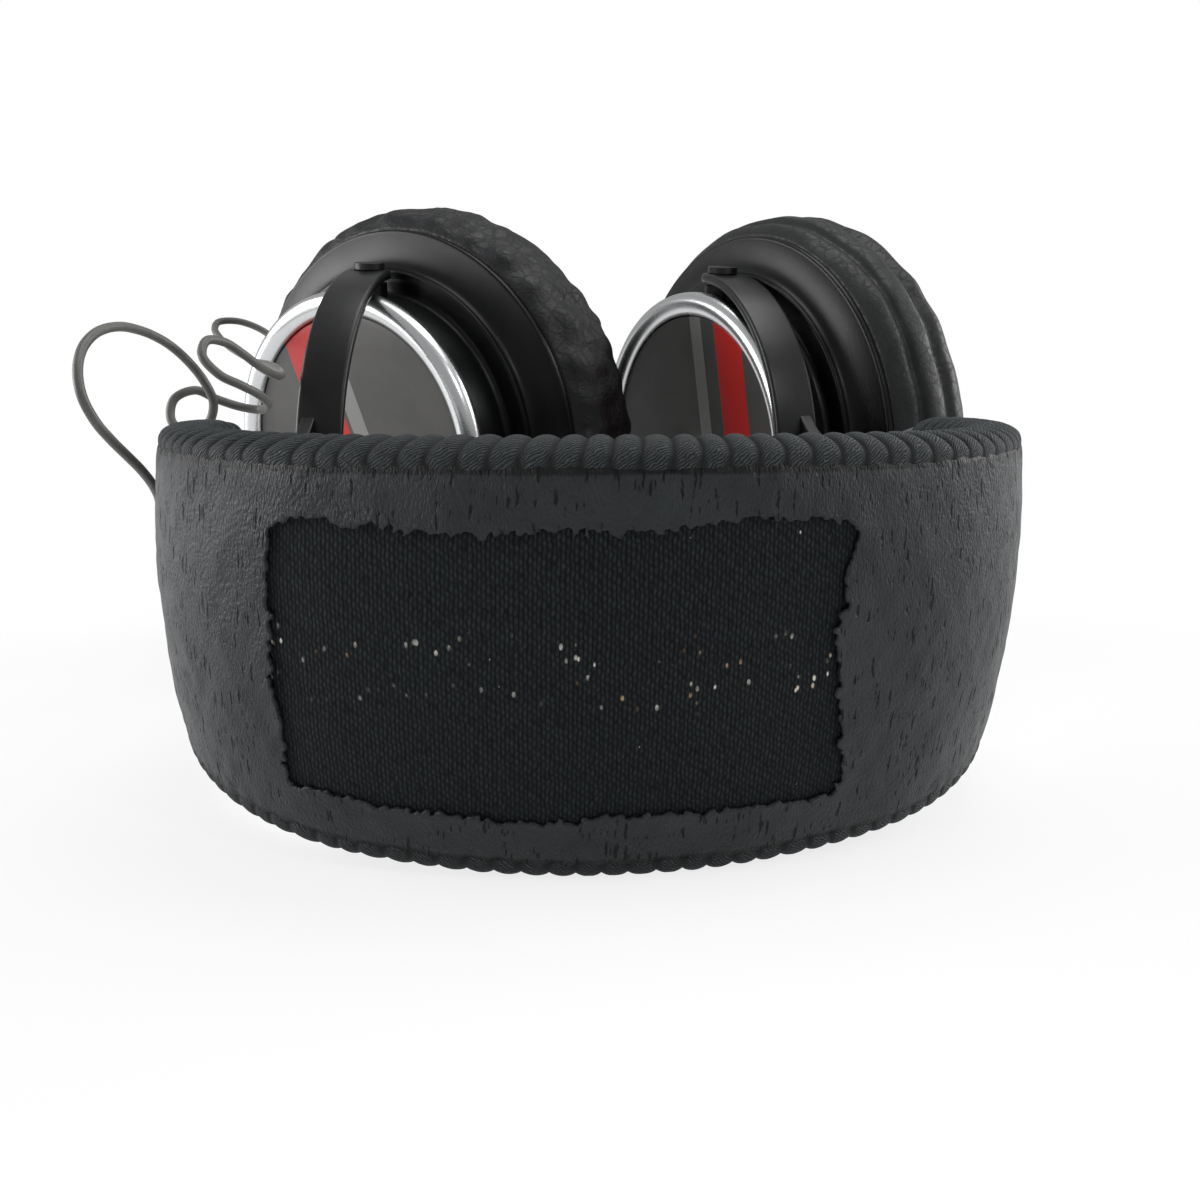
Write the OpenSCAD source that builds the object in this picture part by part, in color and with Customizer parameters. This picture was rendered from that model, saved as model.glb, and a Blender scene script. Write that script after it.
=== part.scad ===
// Closed-back studio headphones lying on their side, crown towards -Y
// Millimetres, +Z up, origin on the table under the middle of the headphones

/* [Headband] */
// Width of the padded band at the crown, laced edges included
band_w = 50; // [46:1:56]
// Width of the padded band at its two ends
band_end_w = 36; // [32:1:38]
// Thickness of the padded band along its middle
band_t = 9.2; // [8.6:0.1:10.5]
// How far the faces of the band swell between its edges
band_swell = 1.8; // [1.2:0.1:2.2]
// Half length of the padded cover, from the crown to one end
cover_half = 90; // [80:1:98]
// Radius of the outer face across the crown
crown_r = 87; // [75:1:98]
// Half angle of the crown arc
crown_angle = 21; // [17:0.5:25]
// Radius of the outer face round each shoulder
shoulder_r = 39.4; // [37:0.1:44]
// How far the arms lean in from parallel, where the cover is long enough for it
arm_angle = 14; // [10:0.25:16]
// Height of the lacing that binds each edge
lacing_h = 2.3; // [1.8:0.1:2.6]
// Scallops of the lacing along one edge
scallops = 58; // [40:1:60]
// Half length of the place where the leatherette has peeled
peel_half = 37; // [30:1:45]
// Where along the band the peeled place has its middle
peel_mid = -10; // [-20:1:20]
// Share of the cover's height that has peeled
peel_share = 0.66; // [0.5:0.01:0.75]
// Width of the spring steel band
spring_w = 16; // [14:0.5:18]
// Thickness of the spring steel band
spring_t = 0.8; // [0.6:0.1:1]

/* [End caps] */
// Length of an end cap beyond the cover
cap_l = 16; // [14:1:18]
// Height of an end cap where the slider leaves it
cap_mouth_w = 20; // [18:1:22]
// Thickness of an end cap where the slider leaves it
cap_mouth_t = 6; // [5.4:0.2:7]
// Shank radius of the end cap screws
screw_r = 1.5; // [1.2:0.1:1.6]

/* [Sliders and hangers] */
// Width of the slider bar
bar_w = 12; // [10:0.5:13]
// Thickness of the slider bar
bar_t = 1.2; // [1:0.1:1.4]
// Depth of the slider bar's middle below the band's outer face
bar_depth = 5.6; // [5.4:0.1:5.9]
// Distance from the end of the cover to the pivots
hanger_reach = 68; // [66:1:76]
// Travel of a slider
slide_travel = 18; // [15:1:20]
// Width of the hanger's strip
strip_w = 8; // [6:0.5:8]
// Thickness of the hanger's strip
strip_t = 1.8; // [1.6:0.1:2.4]
// Radius of the pivot pins
pin_r = 1.6; // [1.2:0.1:2]
// Radius of the rivets that join a bar to its hanger
rivet_r = 1.4; // [1.2:0.1:1.8]

/* [Cups] */
// Outer radius of the chrome cap ring
ring_r = 30; // [28:0.5:31]
// Radial width of the chrome cap ring
ring_w = 4.4; // [3:0.2:5]
// Height of the chrome cap ring
ring_h = 3; // [2.4:0.1:3.6]
// Outer radius of the housing's neck
neck_r = 28.6; // [27.8:0.2:29.2]
// Outer radius of the housing's shoulder
shoulder_step_r = 33.2; // [32:0.2:35]
// Outer radius of the housing's flange
flange_r = 40.2; // [38:0.2:41]
// Thickness of the housing's flange
flange_t = 3.4; // [3:0.1:4]
// Wall of the housing
wall = 2; // [1.6:0.1:2.4]
// Outer radius of the ear pad
pad_r = 43.9; // [42.5:0.1:46]
// Thickness of the ear pad
pad_t = 15.6; // [13:0.2:18]
// Radius of the ear pad's opening
pad_hole_r = 23; // [21:0.5:26]
// Depth of the folds round a worn ear pad
fold_depth = 1.1; // [0.5:0.1:1.6]
// Thickness of the baffle
baffle_t = 1.8; // [1.4:0.1:2.4]
// Radius of the driver's diaphragm
driver_r = 20; // [18:0.5:21]
// Radius of the driver's magnet
magnet_r = 12; // [10:0.5:14]

/* [Pose at rest] */
// Turn of the left cup in its hanger from the worn position
left_turn = 64; // [0:1:90]
// Turn of the right cup in its hanger from the worn position
right_turn = 169; // [153:1:180]

/* [Leads] */
// Diameter of the thin lead between a cup and its end cap
lead_d = 1.3; // [1:0.1:1.4]
// Radius of the main cord's inlet
inlet_bore_r = 1.25; // [1:0.05:1.5]

/* [Hidden] */
$fn = 64;

// Clearances
layer_gap = 0.1;
seat_gap = 0.1;
slide_gap = 0.3;
pin_gap = 0.05;

// Arch of the band: crown arc, shoulder arcs, then straight arms, measured along the outer face
deg = 180 / PI;
crown_len = crown_r * crown_angle / deg;
// The arms run straight from the end of the shoulders, which lies inside the cover
arm_cover = 0.6;
arm_start = min(crown_len + shoulder_r * (90 + arm_angle - crown_angle) / deg, cover_half - arm_cover);
end_heading = crown_angle + (arm_start - crown_len) / shoulder_r * deg;
arm_lean = end_heading - 90;
shoulder_centre = (crown_r - shoulder_r) * [sin(crown_angle), -cos(crown_angle)] + [0, crown_r];

function heading(s) =
    s < crown_len ? s / crown_r * deg :
    s < arm_start ? crown_angle + (s - crown_len) / shoulder_r * deg : end_heading;
function out_dir(s) = [sin(heading(s)), -cos(heading(s))];
function arch_point(s) =
    s < crown_len ? [0, crown_r] + crown_r * out_dir(s) :
    s < arm_start ? shoulder_centre + shoulder_r * out_dir(s) :
    shoulder_centre + shoulder_r * out_dir(s) + (s - arm_start) * [cos(end_heading), sin(end_heading)];
// Point at distance s along the arch, e below the outer face
function band_plan(s, e) =
    let (p = arch_point(abs(s)) - e * out_dir(abs(s)))
    [sign(s) * p.x, p.y];
function half_w(s) = (band_w - (band_w - band_end_w) * pow(s / cover_half, 2)) / 2;

// Pivot axes, where the arms end
pivot_s = cover_half + hanger_reach;
pivot = arch_point(pivot_s) - bar_depth * out_dir(pivot_s);

// Heights along a cup's own axis, outwards from the pivots
neck_clear = 1.6;
hanger_r = ring_r + neck_clear;
strip_half = strip_w / 2;
strip_clear = 0.6;
shoulder_drop = 3.6;
neck_over_strip = 0.2;
step_a = -strip_half - strip_clear;
flange_top_a = step_a - shoulder_drop;
flange_a = flange_top_a - flange_t;
neck_top_a = strip_half + neck_over_strip;
pad_mid_share = 0.45;

// How the headphones lie: the crown's lower edge and the right pad on the table
pad_mid_a = flange_a - seat_gap - pad_mid_share * pad_t;
crown_low = band_w / 2 + layer_gap / 2;
pad_clear = 0.54;
pad_low = pad_r + pad_clear;
contact_y = pivot.y + pad_mid_a * sin(arm_lean - right_turn);
lie_tilt = atan((pad_low - crown_low) / (contact_y - band_t / 2));
lie_lift = crown_low * cos(lie_tilt) - band_t / 2 * sin(lie_tilt);
centre_x = 6.8;
centre_y = 81.3;

module lay() {
    translate([-centre_x, -centre_y, lie_lift]) rotate([lie_tilt, 0, 0]) children();
}
// Right arm's frame: X out of the arm, Y along it away from the band, origin on the pivots
module arm(side) {
    lay()
    mirror([side < 0 ? 1 : 0, 0, 0])
    translate([pivot.x, pivot.y, 0]) rotate([0, 0, arm_lean]) children();
}
// A cup's frame: X along the cup's axis, outwards
module cup(side) {
    arm(side) rotate([0, 0, side < 0 ? -left_turn : -right_turn]) children();
}
// Turned profile of [radius, height] points on a cup's axis
module turned(points) {
    rotate([0, 90, 0]) rotate_extrude($fn = 96) polygon(points);
}
module disc(r, a0, a1) {
    rotate([0, 90, 0]) translate([0, 0, a0]) cylinder(r = r, h = a1 - a0);
}
module pipe(r0, r1, a0, a1) {
    turned([[r0, a0], [r1, a0], [r1, a1], [r0, a1]]);
}

// Padded sheets of the band, swept along the arch
band_steps = 36;
band_rows = 8;
function level_depth(level, z, h) =
    level * band_t + (1 - 2 * level) * band_swell * pow(z / h, 2);
function sheet_point(s, row, level) =
    let (h = half_w(s), z = (2 * row / band_rows - 1) * (h - lacing_h - layer_gap / 2))
    let (p = band_plan(s, level_depth(level, z, h)))
    [p.x, p.y, z];
function step_s(i) = (2 * i / band_steps - 1) * cover_half;
function kept(i, row, window) =
    i >= 0 && i < band_steps && row >= 0 && row < band_rows &&
    !(window && abs(step_s(i + 0.5) - peel_mid) < peel_half &&
        abs(2 * (row + 0.5) / band_rows - 1) < peel_share);

// Closed sheet between two levels, each a function of the distance along the band
module sheet(outer_level, inner_level, window = false) {
    across = band_rows + 1;
    layer = (band_steps + 1) * across;
    function at(i, row, side) = side * layer + i * across + row;
    points = [for (side = [0, 1], i = [0 : band_steps], row = [0 : band_rows])
        sheet_point(step_s(i), row, side == 0 ? outer_level(step_s(i)) : inner_level(step_s(i)))];
    cells = [for (i = [0 : band_steps - 1], row = [0 : band_rows - 1]) if (kept(i, row, window)) [i, row]];
    quads = [for (c = cells) let (i = c[0], row = c[1]) each [
        [at(i, row, 0), at(i, row + 1, 0), at(i + 1, row + 1, 0), at(i + 1, row, 0)],
        [at(i, row, 1), at(i + 1, row, 1), at(i + 1, row + 1, 1), at(i, row + 1, 1)],
        if (!kept(i - 1, row, window)) [at(i, row, 0), at(i, row, 1), at(i, row + 1, 1), at(i, row + 1, 0)],
        if (!kept(i + 1, row, window))
            [at(i + 1, row, 0), at(i + 1, row + 1, 0), at(i + 1, row + 1, 1), at(i + 1, row, 1)],
        if (!kept(i, row - 1, window)) [at(i, row, 0), at(i + 1, row, 0), at(i + 1, row, 1), at(i, row, 1)],
        if (!kept(i, row + 1, window))
            [at(i, row + 1, 0), at(i, row + 1, 1), at(i + 1, row + 1, 1), at(i + 1, row + 1, 0)]
    ]];
    faces = [for (q = quads) each [[q[0], q[1], q[2]], [q[0], q[2], q[3]]]];
    lay() polyhedron(points, faces);
}

// Levels of the layers, from 0 at the outer face to 1 at the inner face
cover_share = 0.1;
knit_share = 0.19;
foam_share = 0.88;
gap_share = layer_gap / band_t;
spring_depth = 2.5;
foam_clear = 0.4;
bar_clear = 0.9;
bar_tuck = 9.4;
pocket_lead = 4;
foam_top = (spring_depth + spring_t + foam_clear) / band_t;
bar_pocket = (bar_depth + bar_t / 2 + bar_clear) / band_t;
bar_inner_s = arm_start - bar_tuck;

module outer_cover() {
    color("#26292c") sheet(function (s) 0, function (s) cover_share, true);
}
module knit_backing() {
    color("#15181a") sheet(function (s) cover_share + gap_share, function (s) knit_share);
}
// The foam thins towards its ends, where the slider bars run over it
module foam_pad() {
    color("#3a3a38")
    sheet(
        function (s) abs(s) < bar_inner_s - pocket_lead ? foam_top : bar_pocket,
        function (s) foam_share
    );
}
module inner_cover() {
    color("#202326") sheet(function (s) foam_share + gap_share, function (s) 1);
}
module spring_band() {
    steps = 40;
    reach = cover_half + cap_l / 2;
    function side_points(e) = [for (i = [0 : steps]) band_plan((2 * i / steps - 1) * reach, e)];
    inner = side_points(spring_depth + spring_t);
    color("#9aa0a4") difference() {
        lay() linear_extrude(height = spring_w, center = true)
            polygon(concat(side_points(spring_depth), [for (i = [steps : -1 : 0]) inner[i]]));
        screw_places() rotate([0, 90, 0]) cylinder(r = screw_r + seat_gap, h = band_t, center = true);
    }
}

// Skin over rings of points, closed at both ends
module sweep(rings, flip = false) {
    n = len(rings[0]);
    last = len(rings) - 1;
    sides = [for (k = [0 : last - 1], j = [0 : n - 1]) let (a = k * n + j, b = k * n + (j + 1) % n) each [
        [a, b, b + n], [a, b + n, a + n]]];
    ends = [for (j = [1 : n - 2]) each [[0, j + 1, j], [last * n, last * n + j, last * n + j + 1]]];
    faces = concat(sides, ends);
    polyhedron([for (r = rings) each r], flip ? faces : [for (f = faces) [f[2], f[1], f[0]]]);
}

// Lacing: a bead over the edge, drawn in at each stitch
rings_per_scallop = 3;
stitch_draw = 0.68;
lip = 0.6;
module lacing(edge) {
    rings = scallops * rings_per_scallop;
    e0 = band_swell;
    e1 = band_t - band_swell;
    function ring(k) =
        let (s = (2 * k / rings - 1) * cover_half, base = half_w(s) - lacing_h + layer_gap / 2)
        let (swell = k % rings_per_scallop == 0 ? stitch_draw : 1, top = lacing_h * swell)
        [for (q = [
            [e0 - lip * swell, 0], [e0 - lip * swell, 0.4 * top], [e0 + lip, 0.8 * top], [band_t / 2, top],
            [e1 - lip, 0.8 * top], [e1 + lip * swell, 0.4 * top], [e1 + lip * swell, 0]
        ]) let (p = band_plan(s, q[0])) [p.x, p.y, edge * (base + q[1])]];
    color("#1d2022") lay() sweep([for (k = [0 : rings]) ring(k)], edge > 0);
}
module upper_edge_lacing() { lacing(1); }
module lower_edge_lacing() { lacing(-1); }

// End caps, in the arm's frame; y runs along the arm from the pivots
function arm_y(s) = s - pivot_s;
cap_start = cover_half + 0.3;
cap_end = cover_half + cap_l;
screw_s = cover_half + cap_l / 4;
screw_z = spring_w / 2 - 3;
screw_head_r = screw_r + 1.1;
cap_skin = 1.4;
detent_y = arm_y(cover_half + 0.6 * cap_l);
detent_half = 6;
detent_rise = 1.2;
detent_w = 1.4;
module screw_places() {
    for (side = [-1, 1], z = [-1, 1])
        arm(side) translate([bar_depth, arm_y(screw_s), z * screw_z]) children();
}
module cap_slab(s, e0, e1, w) {
    corner = 1.8;
    translate([bar_depth - (e0 + e1) / 2, arm_y(s), 0]) rotate([90, 0, 0])
        linear_extrude(height = 1, center = true)
        offset(r = corner, $fn = 24) square([e1 - e0 - 2 * corner, w - 2 * corner], center = true);
}
module end_cap(side) {
    slot_w = bar_w + 2 * slide_gap;
    mouth_rise = 0.6;
    mouth_mid = bar_depth - mouth_rise;
    color("#303337") difference() {
        arm(side) hull() {
            cap_slab(cap_start + 0.5, cap_skin, band_t - cap_skin, band_end_w - 2);
            cap_slab(cap_end - 0.5, mouth_mid - cap_mouth_t / 2, mouth_mid + cap_mouth_t / 2, cap_mouth_w);
        }
        // Way for the slider bar
        arm(side) translate([0, arm_y(cover_half + cap_l / 2), 0])
            cube([bar_t + 2 * slide_gap, 2 * cap_l, slot_w], center = true);
        // Seat of the spring band
        arm(side) translate([bar_depth - spring_depth - spring_t / 2, arm_y(cap_start), 0])
            cube([spring_t + 2 * seat_gap, cap_l + 1, spring_w + 2 * seat_gap], center = true);
        // Pocket of the detent spring
        arm(side) translate([0, detent_y, slot_w / 2 + detent_rise / 2])
            cube([detent_w + 2 * seat_gap, 2 * (detent_half + 0.3), detent_rise + 1.2], center = true);
        arm(side) cap_grommet_place() cylinder(r = grommet_r + seat_gap, h = cap_l);
        screw_places() rotate([0, -90, 0]) cylinder(r = screw_r + seat_gap, h = bar_depth - bar_t);
        screw_places() rotate([0, 90, 0]) translate([0, 0, -spring_depth - seat_gap])
            cylinder(r = screw_head_r + seat_gap, h = band_t);
    }
}
mouth_floor = 0.7;
mouth_inset = 4.2;
cap_grommet_x = bar_t / 2 + slide_gap + mouth_floor;
cap_grommet_y = arm_y(cap_end) - mouth_inset;
// Mouth of the lead in the outer face of an end cap
module cap_grommet_place() {
    translate([cap_grommet_x, cap_grommet_y, 0]) rotate([0, 90, 0]) children();
}
module left_end_cap() { end_cap(-1); }
module right_end_cap() { end_cap(1); }
module detent_spring(side) {
    leaf_t = 0.4;
    steps = 8;
    base = bar_w / 2 + slide_gap + seat_gap;
    function leaf(t, rise) = [detent_half * t, base + rise + detent_rise * t * t];
    color("#b9bdc0") arm(side) translate([0, detent_y, 0]) rotate([90, 0, 90])
        linear_extrude(height = detent_w, center = true)
        polygon(concat(
            [for (i = [-steps : steps]) leaf(i / steps, 0)],
            [for (i = [steps : -1 : -steps]) leaf(i / steps, leaf_t)]
        ));
}
module left_detent_spring() { detent_spring(-1); }
module right_detent_spring() { detent_spring(1); }
module end_cap_screws() {
    head_e = 1.7;
    head_t = 0.7;
    color("#8d9296") screw_places() rotate([0, -90, 0]) {
        translate([0, 0, head_e]) cylinder(r = screw_head_r, h = head_t);
        translate([0, 0, head_e]) cylinder(r = screw_r, h = bar_depth - bar_t - head_e - 0.2);
    }
}

// Sliders and hangers
hanger_out_r = hanger_r + strip_t;
stem_gap = 2.5;
bar_share = 0.73;
rivet_shares = [0.18, 0.54];
stem_y = arm_y(cap_end) + stem_gap;
stem_len = -hanger_out_r - stem_y;
bar_end_y = stem_y + bar_share * stem_len;
rivet_ys = [for (share = rivet_shares) stem_y + share * stem_len];
notch_step = 3;
plate_t = 2.2;
plate_x = bar_t / 2 + layer_gap / 2;
module rivet_places() {
    for (y = rivet_ys) translate([0, y, 0]) rotate([0, 90, 0]) children();
}
module slider_bar(side) {
    notches = floor(slide_travel / notch_step);
    color("#a7abae") arm(side) difference() {
        translate([-bar_t / 2, arm_y(bar_inner_s), -bar_w / 2])
            cube([bar_t, bar_end_y - arm_y(bar_inner_s), bar_w]);
        for (i = [0 : notches])
            translate([0, detent_y - i * notch_step, bar_w / 2]) rotate([0, 90, 0])
                cylinder(r = 0.8, h = 2 * bar_t, center = true, $fn = 24);
        rivet_places() cylinder(r = rivet_r + seat_gap, h = 2 * bar_t, center = true);
    }
}
module left_slider_bar() { slider_bar(-1); }
module right_slider_bar() { slider_bar(1); }
// Flat strip bent round the cup's neck, flaring into the stem that takes the bar
module hanger(side) {
    stem_half = bar_w / 2 + 1;
    flare_half = 0.72 * hanger_r;
    flare_steps = 10;
    function flare(t) = [
        stem_y + t * (-0.7 * hanger_r - stem_y),
        stem_half + (flare_half - stem_half) * pow(t, 3)
    ];
    edge = [for (i = [0 : flare_steps]) flare(i / flare_steps)];
    color("#26282b") arm(side) difference() {
        union() {
            rotate([0, 90, 0]) rotate([0, 0, 180]) rotate_extrude(angle = 180, $fn = 96)
                translate([hanger_r, -strip_half]) square([strip_t, strip_w]);
            for (m = [0, 1]) mirror([0, 0, m])
                translate([0, 0, hanger_r]) cylinder(r = strip_half, h = strip_t);
            translate([plate_x, 0, 0]) rotate([90, 0, 90]) linear_extrude(height = plate_t)
                polygon(concat(edge, [for (i = [flare_steps : -1 : 0]) [edge[i].x, -edge[i].y]]));
        }
        rotate([0, 90, 0]) cylinder(r = hanger_r, h = 4 * strip_w, center = true, $fn = 96);
        cylinder(r = pin_r + pin_gap, h = 3 * hanger_r, center = true);
        rivet_places() cylinder(r = rivet_r + seat_gap, h = 4 * plate_t);
    }
}
module left_hanger() { hanger(-1); }
module right_hanger() { hanger(1); }
module hanger_rivets(side) {
    head_r = rivet_r + 1;
    head_t = 0.8;
    top = plate_x + plate_t + layer_gap / 2;
    color("#9ea2a5") arm(side) rivet_places() {
        translate([0, 0, -plate_x - head_t]) cylinder(r = rivet_r, h = top + plate_x + 2 * head_t);
        translate([0, 0, -plate_x - head_t]) cylinder(r = head_r, h = head_t);
        translate([0, 0, top]) cylinder(r = head_r, h = head_t);
    }
}
module left_hanger_rivets() { hanger_rivets(-1); }
module right_hanger_rivets() { hanger_rivets(1); }
bush_r = pin_r + 1.6;
bush_in = neck_r - wall - 0.8;
module pivot_pins(side) {
    head_t = 1.1;
    color("#b4b8bb") arm(side) for (m = [0, 1]) mirror([0, 0, m]) {
        translate([0, 0, bush_in]) cylinder(r = pin_r, h = hanger_out_r + head_t - bush_in);
        translate([0, 0, hanger_out_r + layer_gap]) cylinder(r = pin_r + 1.2, h = head_t);
    }
}
module left_pivot_pins() { pivot_pins(-1); }
module right_pivot_pins() { pivot_pins(1); }
module pivot_bushes(side) {
    color("#d8d4c8") cup(side) for (m = [0, 1]) mirror([0, 0, m]) difference() {
        translate([0, 0, bush_in]) cylinder(r = bush_r, h = hanger_r - 0.5 - bush_in);
        cylinder(r = pin_r + pin_gap, h = 2 * hanger_r);
    }
}
module left_pivot_bushes() { pivot_bushes(-1); }
module right_pivot_bushes() { pivot_bushes(1); }

// Cups: turned pieces on the cup's axis, [radius, height] with height outwards from the pivots
ledge_a = flange_a + baffle_t + seat_gap;
ledge_r = shoulder_step_r + 0.4;
recess_r = flange_r - 2.4;
inlet_r = inlet_bore_r + 2;
inlet_in = neck_r - wall - 0.8;
grommet_r = lead_d / 2 + 1.2;
grommet_turn = 35;
cut_over = 4;
module housing(side) {
    flare_steps = 10;
    flare_start = step_a - 0.8;
    flare = [for (i = [0 : flare_steps]) let (t = 90 * i / flare_steps)
        [shoulder_step_r + (flange_r - shoulder_step_r) * (1 - cos(t)),
         flare_start - (flare_start - flange_top_a) * sin(t)]];
    shell = concat(
        [[0, neck_top_a], [neck_r, neck_top_a], [neck_r, step_a + 0.8], [neck_r + 0.8, step_a],
         [shoulder_step_r - 0.5, step_a], [shoulder_step_r, step_a - 0.5]],
        flare,
        [[flange_r, flange_a], [recess_r, flange_a], [recess_r, ledge_a], [ledge_r, ledge_a],
         [shoulder_step_r - wall, step_a - wall], [neck_r - wall, step_a - wall],
         [neck_r - wall, neck_top_a - wall], [0, neck_top_a - wall]]
    );
    color("#1b1d1f") cup(side) difference() {
        turned(shell);
        for (m = [0, 1]) mirror([0, 0, m]) translate([0, 0, bush_in])
            cylinder(r = bush_r + seat_gap, h = wall + cut_over);
        baffle_screw_places() cylinder(r = baffle_screw_r + seat_gap, h = 3);
        cup_grommet_place() cylinder(r = grommet_r + seat_gap, h = wall + cut_over);
        if (side < 0)
            inlet_place() cylinder(r = inlet_r + seat_gap, h = wall + cut_over);
    }
}
module left_housing() { housing(-1); }
module right_housing() { housing(1); }
module cap_plate(side) {
    color("#4a4b4a") cup(side)
        disc(ring_r - ring_w - seat_gap, neck_top_a + layer_gap, neck_top_a + 0.45 * ring_h);
}
module left_cap_plate() { cap_plate(-1); }
module right_cap_plate() { cap_plate(1); }
module cap_ring(side) {
    a0 = neck_top_a + layer_gap;
    inner = ring_r - ring_w;
    color("#d9dcde") cup(side) turned([
        [inner, a0], [ring_r - 0.4, a0], [ring_r, a0 + 0.4], [ring_r, a0 + 0.55 * ring_h],
        [ring_r - 0.3, a0 + 0.8 * ring_h], [ring_r - 0.9, a0 + 0.95 * ring_h],
        [ring_r - 0.5 * ring_w, a0 + ring_h], [inner + 0.25 * ring_w, a0 + 0.9 * ring_h],
        [inner, a0 + 0.55 * ring_h]
    ]);
}
module left_cap_ring() { cap_ring(-1); }
module right_cap_ring() { cap_ring(1); }

baffle_screw_r = 0.9;
baffle_head_r = 1.7;
baffle_head_t = 0.8;
baffle_screws = 3;
module baffle_screw_places() {
    for (i = [0 : baffle_screws - 1])
        rotate([360 * i / baffle_screws + 30, 0, 0])
            translate([flange_a, 0, (ledge_r + recess_r) / 2]) rotate([0, 90, 0]) children();
}
module baffle(side) {
    hole_r = driver_r - 1.5;
    color("#222426") cup(side) difference() {
        pipe(hole_r, recess_r - seat_gap, flange_a, flange_a + baffle_t);
        baffle_screw_places() cylinder(r = baffle_screw_r + seat_gap, h = baffle_t + 1);
        baffle_screw_places() cylinder(r = baffle_head_r + seat_gap, h = baffle_head_t + seat_gap);
    }
}
module left_baffle() { baffle(-1); }
module right_baffle() { baffle(1); }
module baffle_screw_set(side) {
    color("#8d9296") cup(side) baffle_screw_places() {
        cylinder(r = baffle_head_r, h = baffle_head_t);
        cylinder(r = baffle_screw_r, h = baffle_t + 1.2);
    }
}
module left_baffle_screws() { baffle_screw_set(-1); }
module right_baffle_screws() { baffle_screw_set(1); }
frame_t = 1.2;
frame_back_a = ledge_a + 7.6;
module driver_frame(side) {
    rim = driver_r + 2.4;
    throat = driver_r - 3;
    color("#2c2f31") cup(side) turned([
        [driver_r - 1, ledge_a], [rim, ledge_a], [rim, ledge_a + frame_t],
        [driver_r + 0.4, ledge_a + frame_t], [throat, frame_back_a - frame_t], [throat, frame_back_a],
        [magnet_r / 2, frame_back_a], [magnet_r / 2, frame_back_a - frame_t],
        [throat - 1.4, frame_back_a - frame_t],
        [driver_r - 1, ledge_a + frame_t]
    ]);
}
module left_driver_frame() { driver_frame(-1); }
module right_driver_frame() { driver_frame(1); }
module driver_magnet(side) {
    color("#6f7376") cup(side) disc(magnet_r, frame_back_a + layer_gap, neck_top_a - wall - 0.6);
}
module left_driver_magnet() { driver_magnet(-1); }
module right_driver_magnet() { driver_magnet(1); }
module diaphragm(side) {
    rim = driver_r - 1.2;
    film = 0.3;
    dome = 0.45 * driver_r;
    steps = 8;
    base = ledge_a + 0.2;
    skin = [for (i = [0 : steps]) let (x = i / steps)
        [dome * x, base - 1.6 * cos(90 * x)]];
    edge = [[dome + 0.6 * (rim - dome), base + 0.5], [rim, base]];
    outline = concat(skin, edge);
    color("#7b8288") cup(side)
        turned(concat(outline, [for (i = [len(outline) - 1 : -1 : 0]) outline[i] + [0, film]]));
}
module left_diaphragm() { diaphragm(-1); }
module right_diaphragm() { diaphragm(1); }
cloth_t = 0.5;
cloth_r = driver_r + 1;
module driver_cloth(side) {
    color("#17191b") cup(side) disc(cloth_r, flange_a - layer_gap - cloth_t, flange_a - layer_gap);
}
module left_driver_cloth() { driver_cloth(-1); }
module right_driver_cloth() { driver_cloth(1); }
module acoustic_ring(side) {
    color("#3b3c3a") cup(side)
        pipe(cloth_r + seat_gap, pad_hole_r - 0.3, flange_a - layer_gap - 2.2, flange_a - layer_gap);
}
module left_acoustic_ring() { acoustic_ring(-1); }
module right_acoustic_ring() { acoustic_ring(1); }
// Ear pad: a stuffed ring with a lip over the flange; the worn right pad has two folds round it
module ear_pad(side) {
    base_a = flange_a - seat_gap;
    half_r = (pad_r - pad_hole_r) / 2;
    mid_r = (pad_r + pad_hole_r) / 2;
    front = (1 - pad_mid_share) * pad_t;
    back = flange_top_a + 0.6 - pad_mid_a;
    power = 2.6;
    steps = 48;
    function bulge(x) = sign(x) * pow(abs(x), 2 / power);
    ring = [for (i = [0 : steps - 1]) let (t = 360 * i / steps)
        [mid_r + half_r * bulge(cos(t)), pad_mid_a + (sin(t) > 0 ? back : front) * bulge(sin(t))]];
    color("#1a1c1e") cup(side) rotate([0, 90, 0]) rotate_extrude($fn = 96) difference() {
        polygon(ring);
        translate([0, base_a]) square([flange_r + seat_gap, 2 * pad_t]);
        if (side > 0)
            for (share = [0.12, 0.52])
                translate([pad_r + 0.6, base_a - share * pad_t]) circle(r = 0.6 + fold_depth, $fn = 24);
    }
}
module left_ear_pad() { ear_pad(-1); }
module right_ear_pad() { ear_pad(1); }

// Lead mouths in the cups and end caps, and the main cord's inlet at the bottom of the left cup
module cup_grommet_place() {
    rotate([grommet_turn, 0, 0]) translate([0, inlet_in, 0]) rotate([-90, 0, 0]) children();
}
module inlet_place() {
    translate([0, inlet_in, 0]) rotate([-90, 0, 0]) children();
}
module grommet(h) {
    color("#151617") difference() {
        cylinder(r = grommet_r, h = h);
        translate([0, 0, -1]) cylinder(r = lead_d / 2 + pin_gap, h = h + 2);
    }
}
grommet_lip = 1.4;
module left_cup_grommet() { cup(-1) cup_grommet_place() grommet(neck_r + grommet_lip - inlet_in); }
module right_cup_grommet() { cup(1) cup_grommet_place() grommet(neck_r + grommet_lip - inlet_in); }
mouth_skin = 0.9;
cap_grommet_h = bar_depth - mouth_skin - cap_grommet_x;
module left_cap_grommet() { arm(-1) cap_grommet_place() grommet(cap_grommet_h); }
module right_cap_grommet() { arm(1) cap_grommet_place() grommet(cap_grommet_h); }
module cord_inlet() {
    color("#202224") cup(-1) inlet_place() difference() {
        cylinder(r = inlet_r, h = neck_r + 2 - inlet_in);
        translate([0, 0, -1]) cylinder(r = inlet_bore_r, h = 2 * wall + 6);
    }
}

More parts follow.
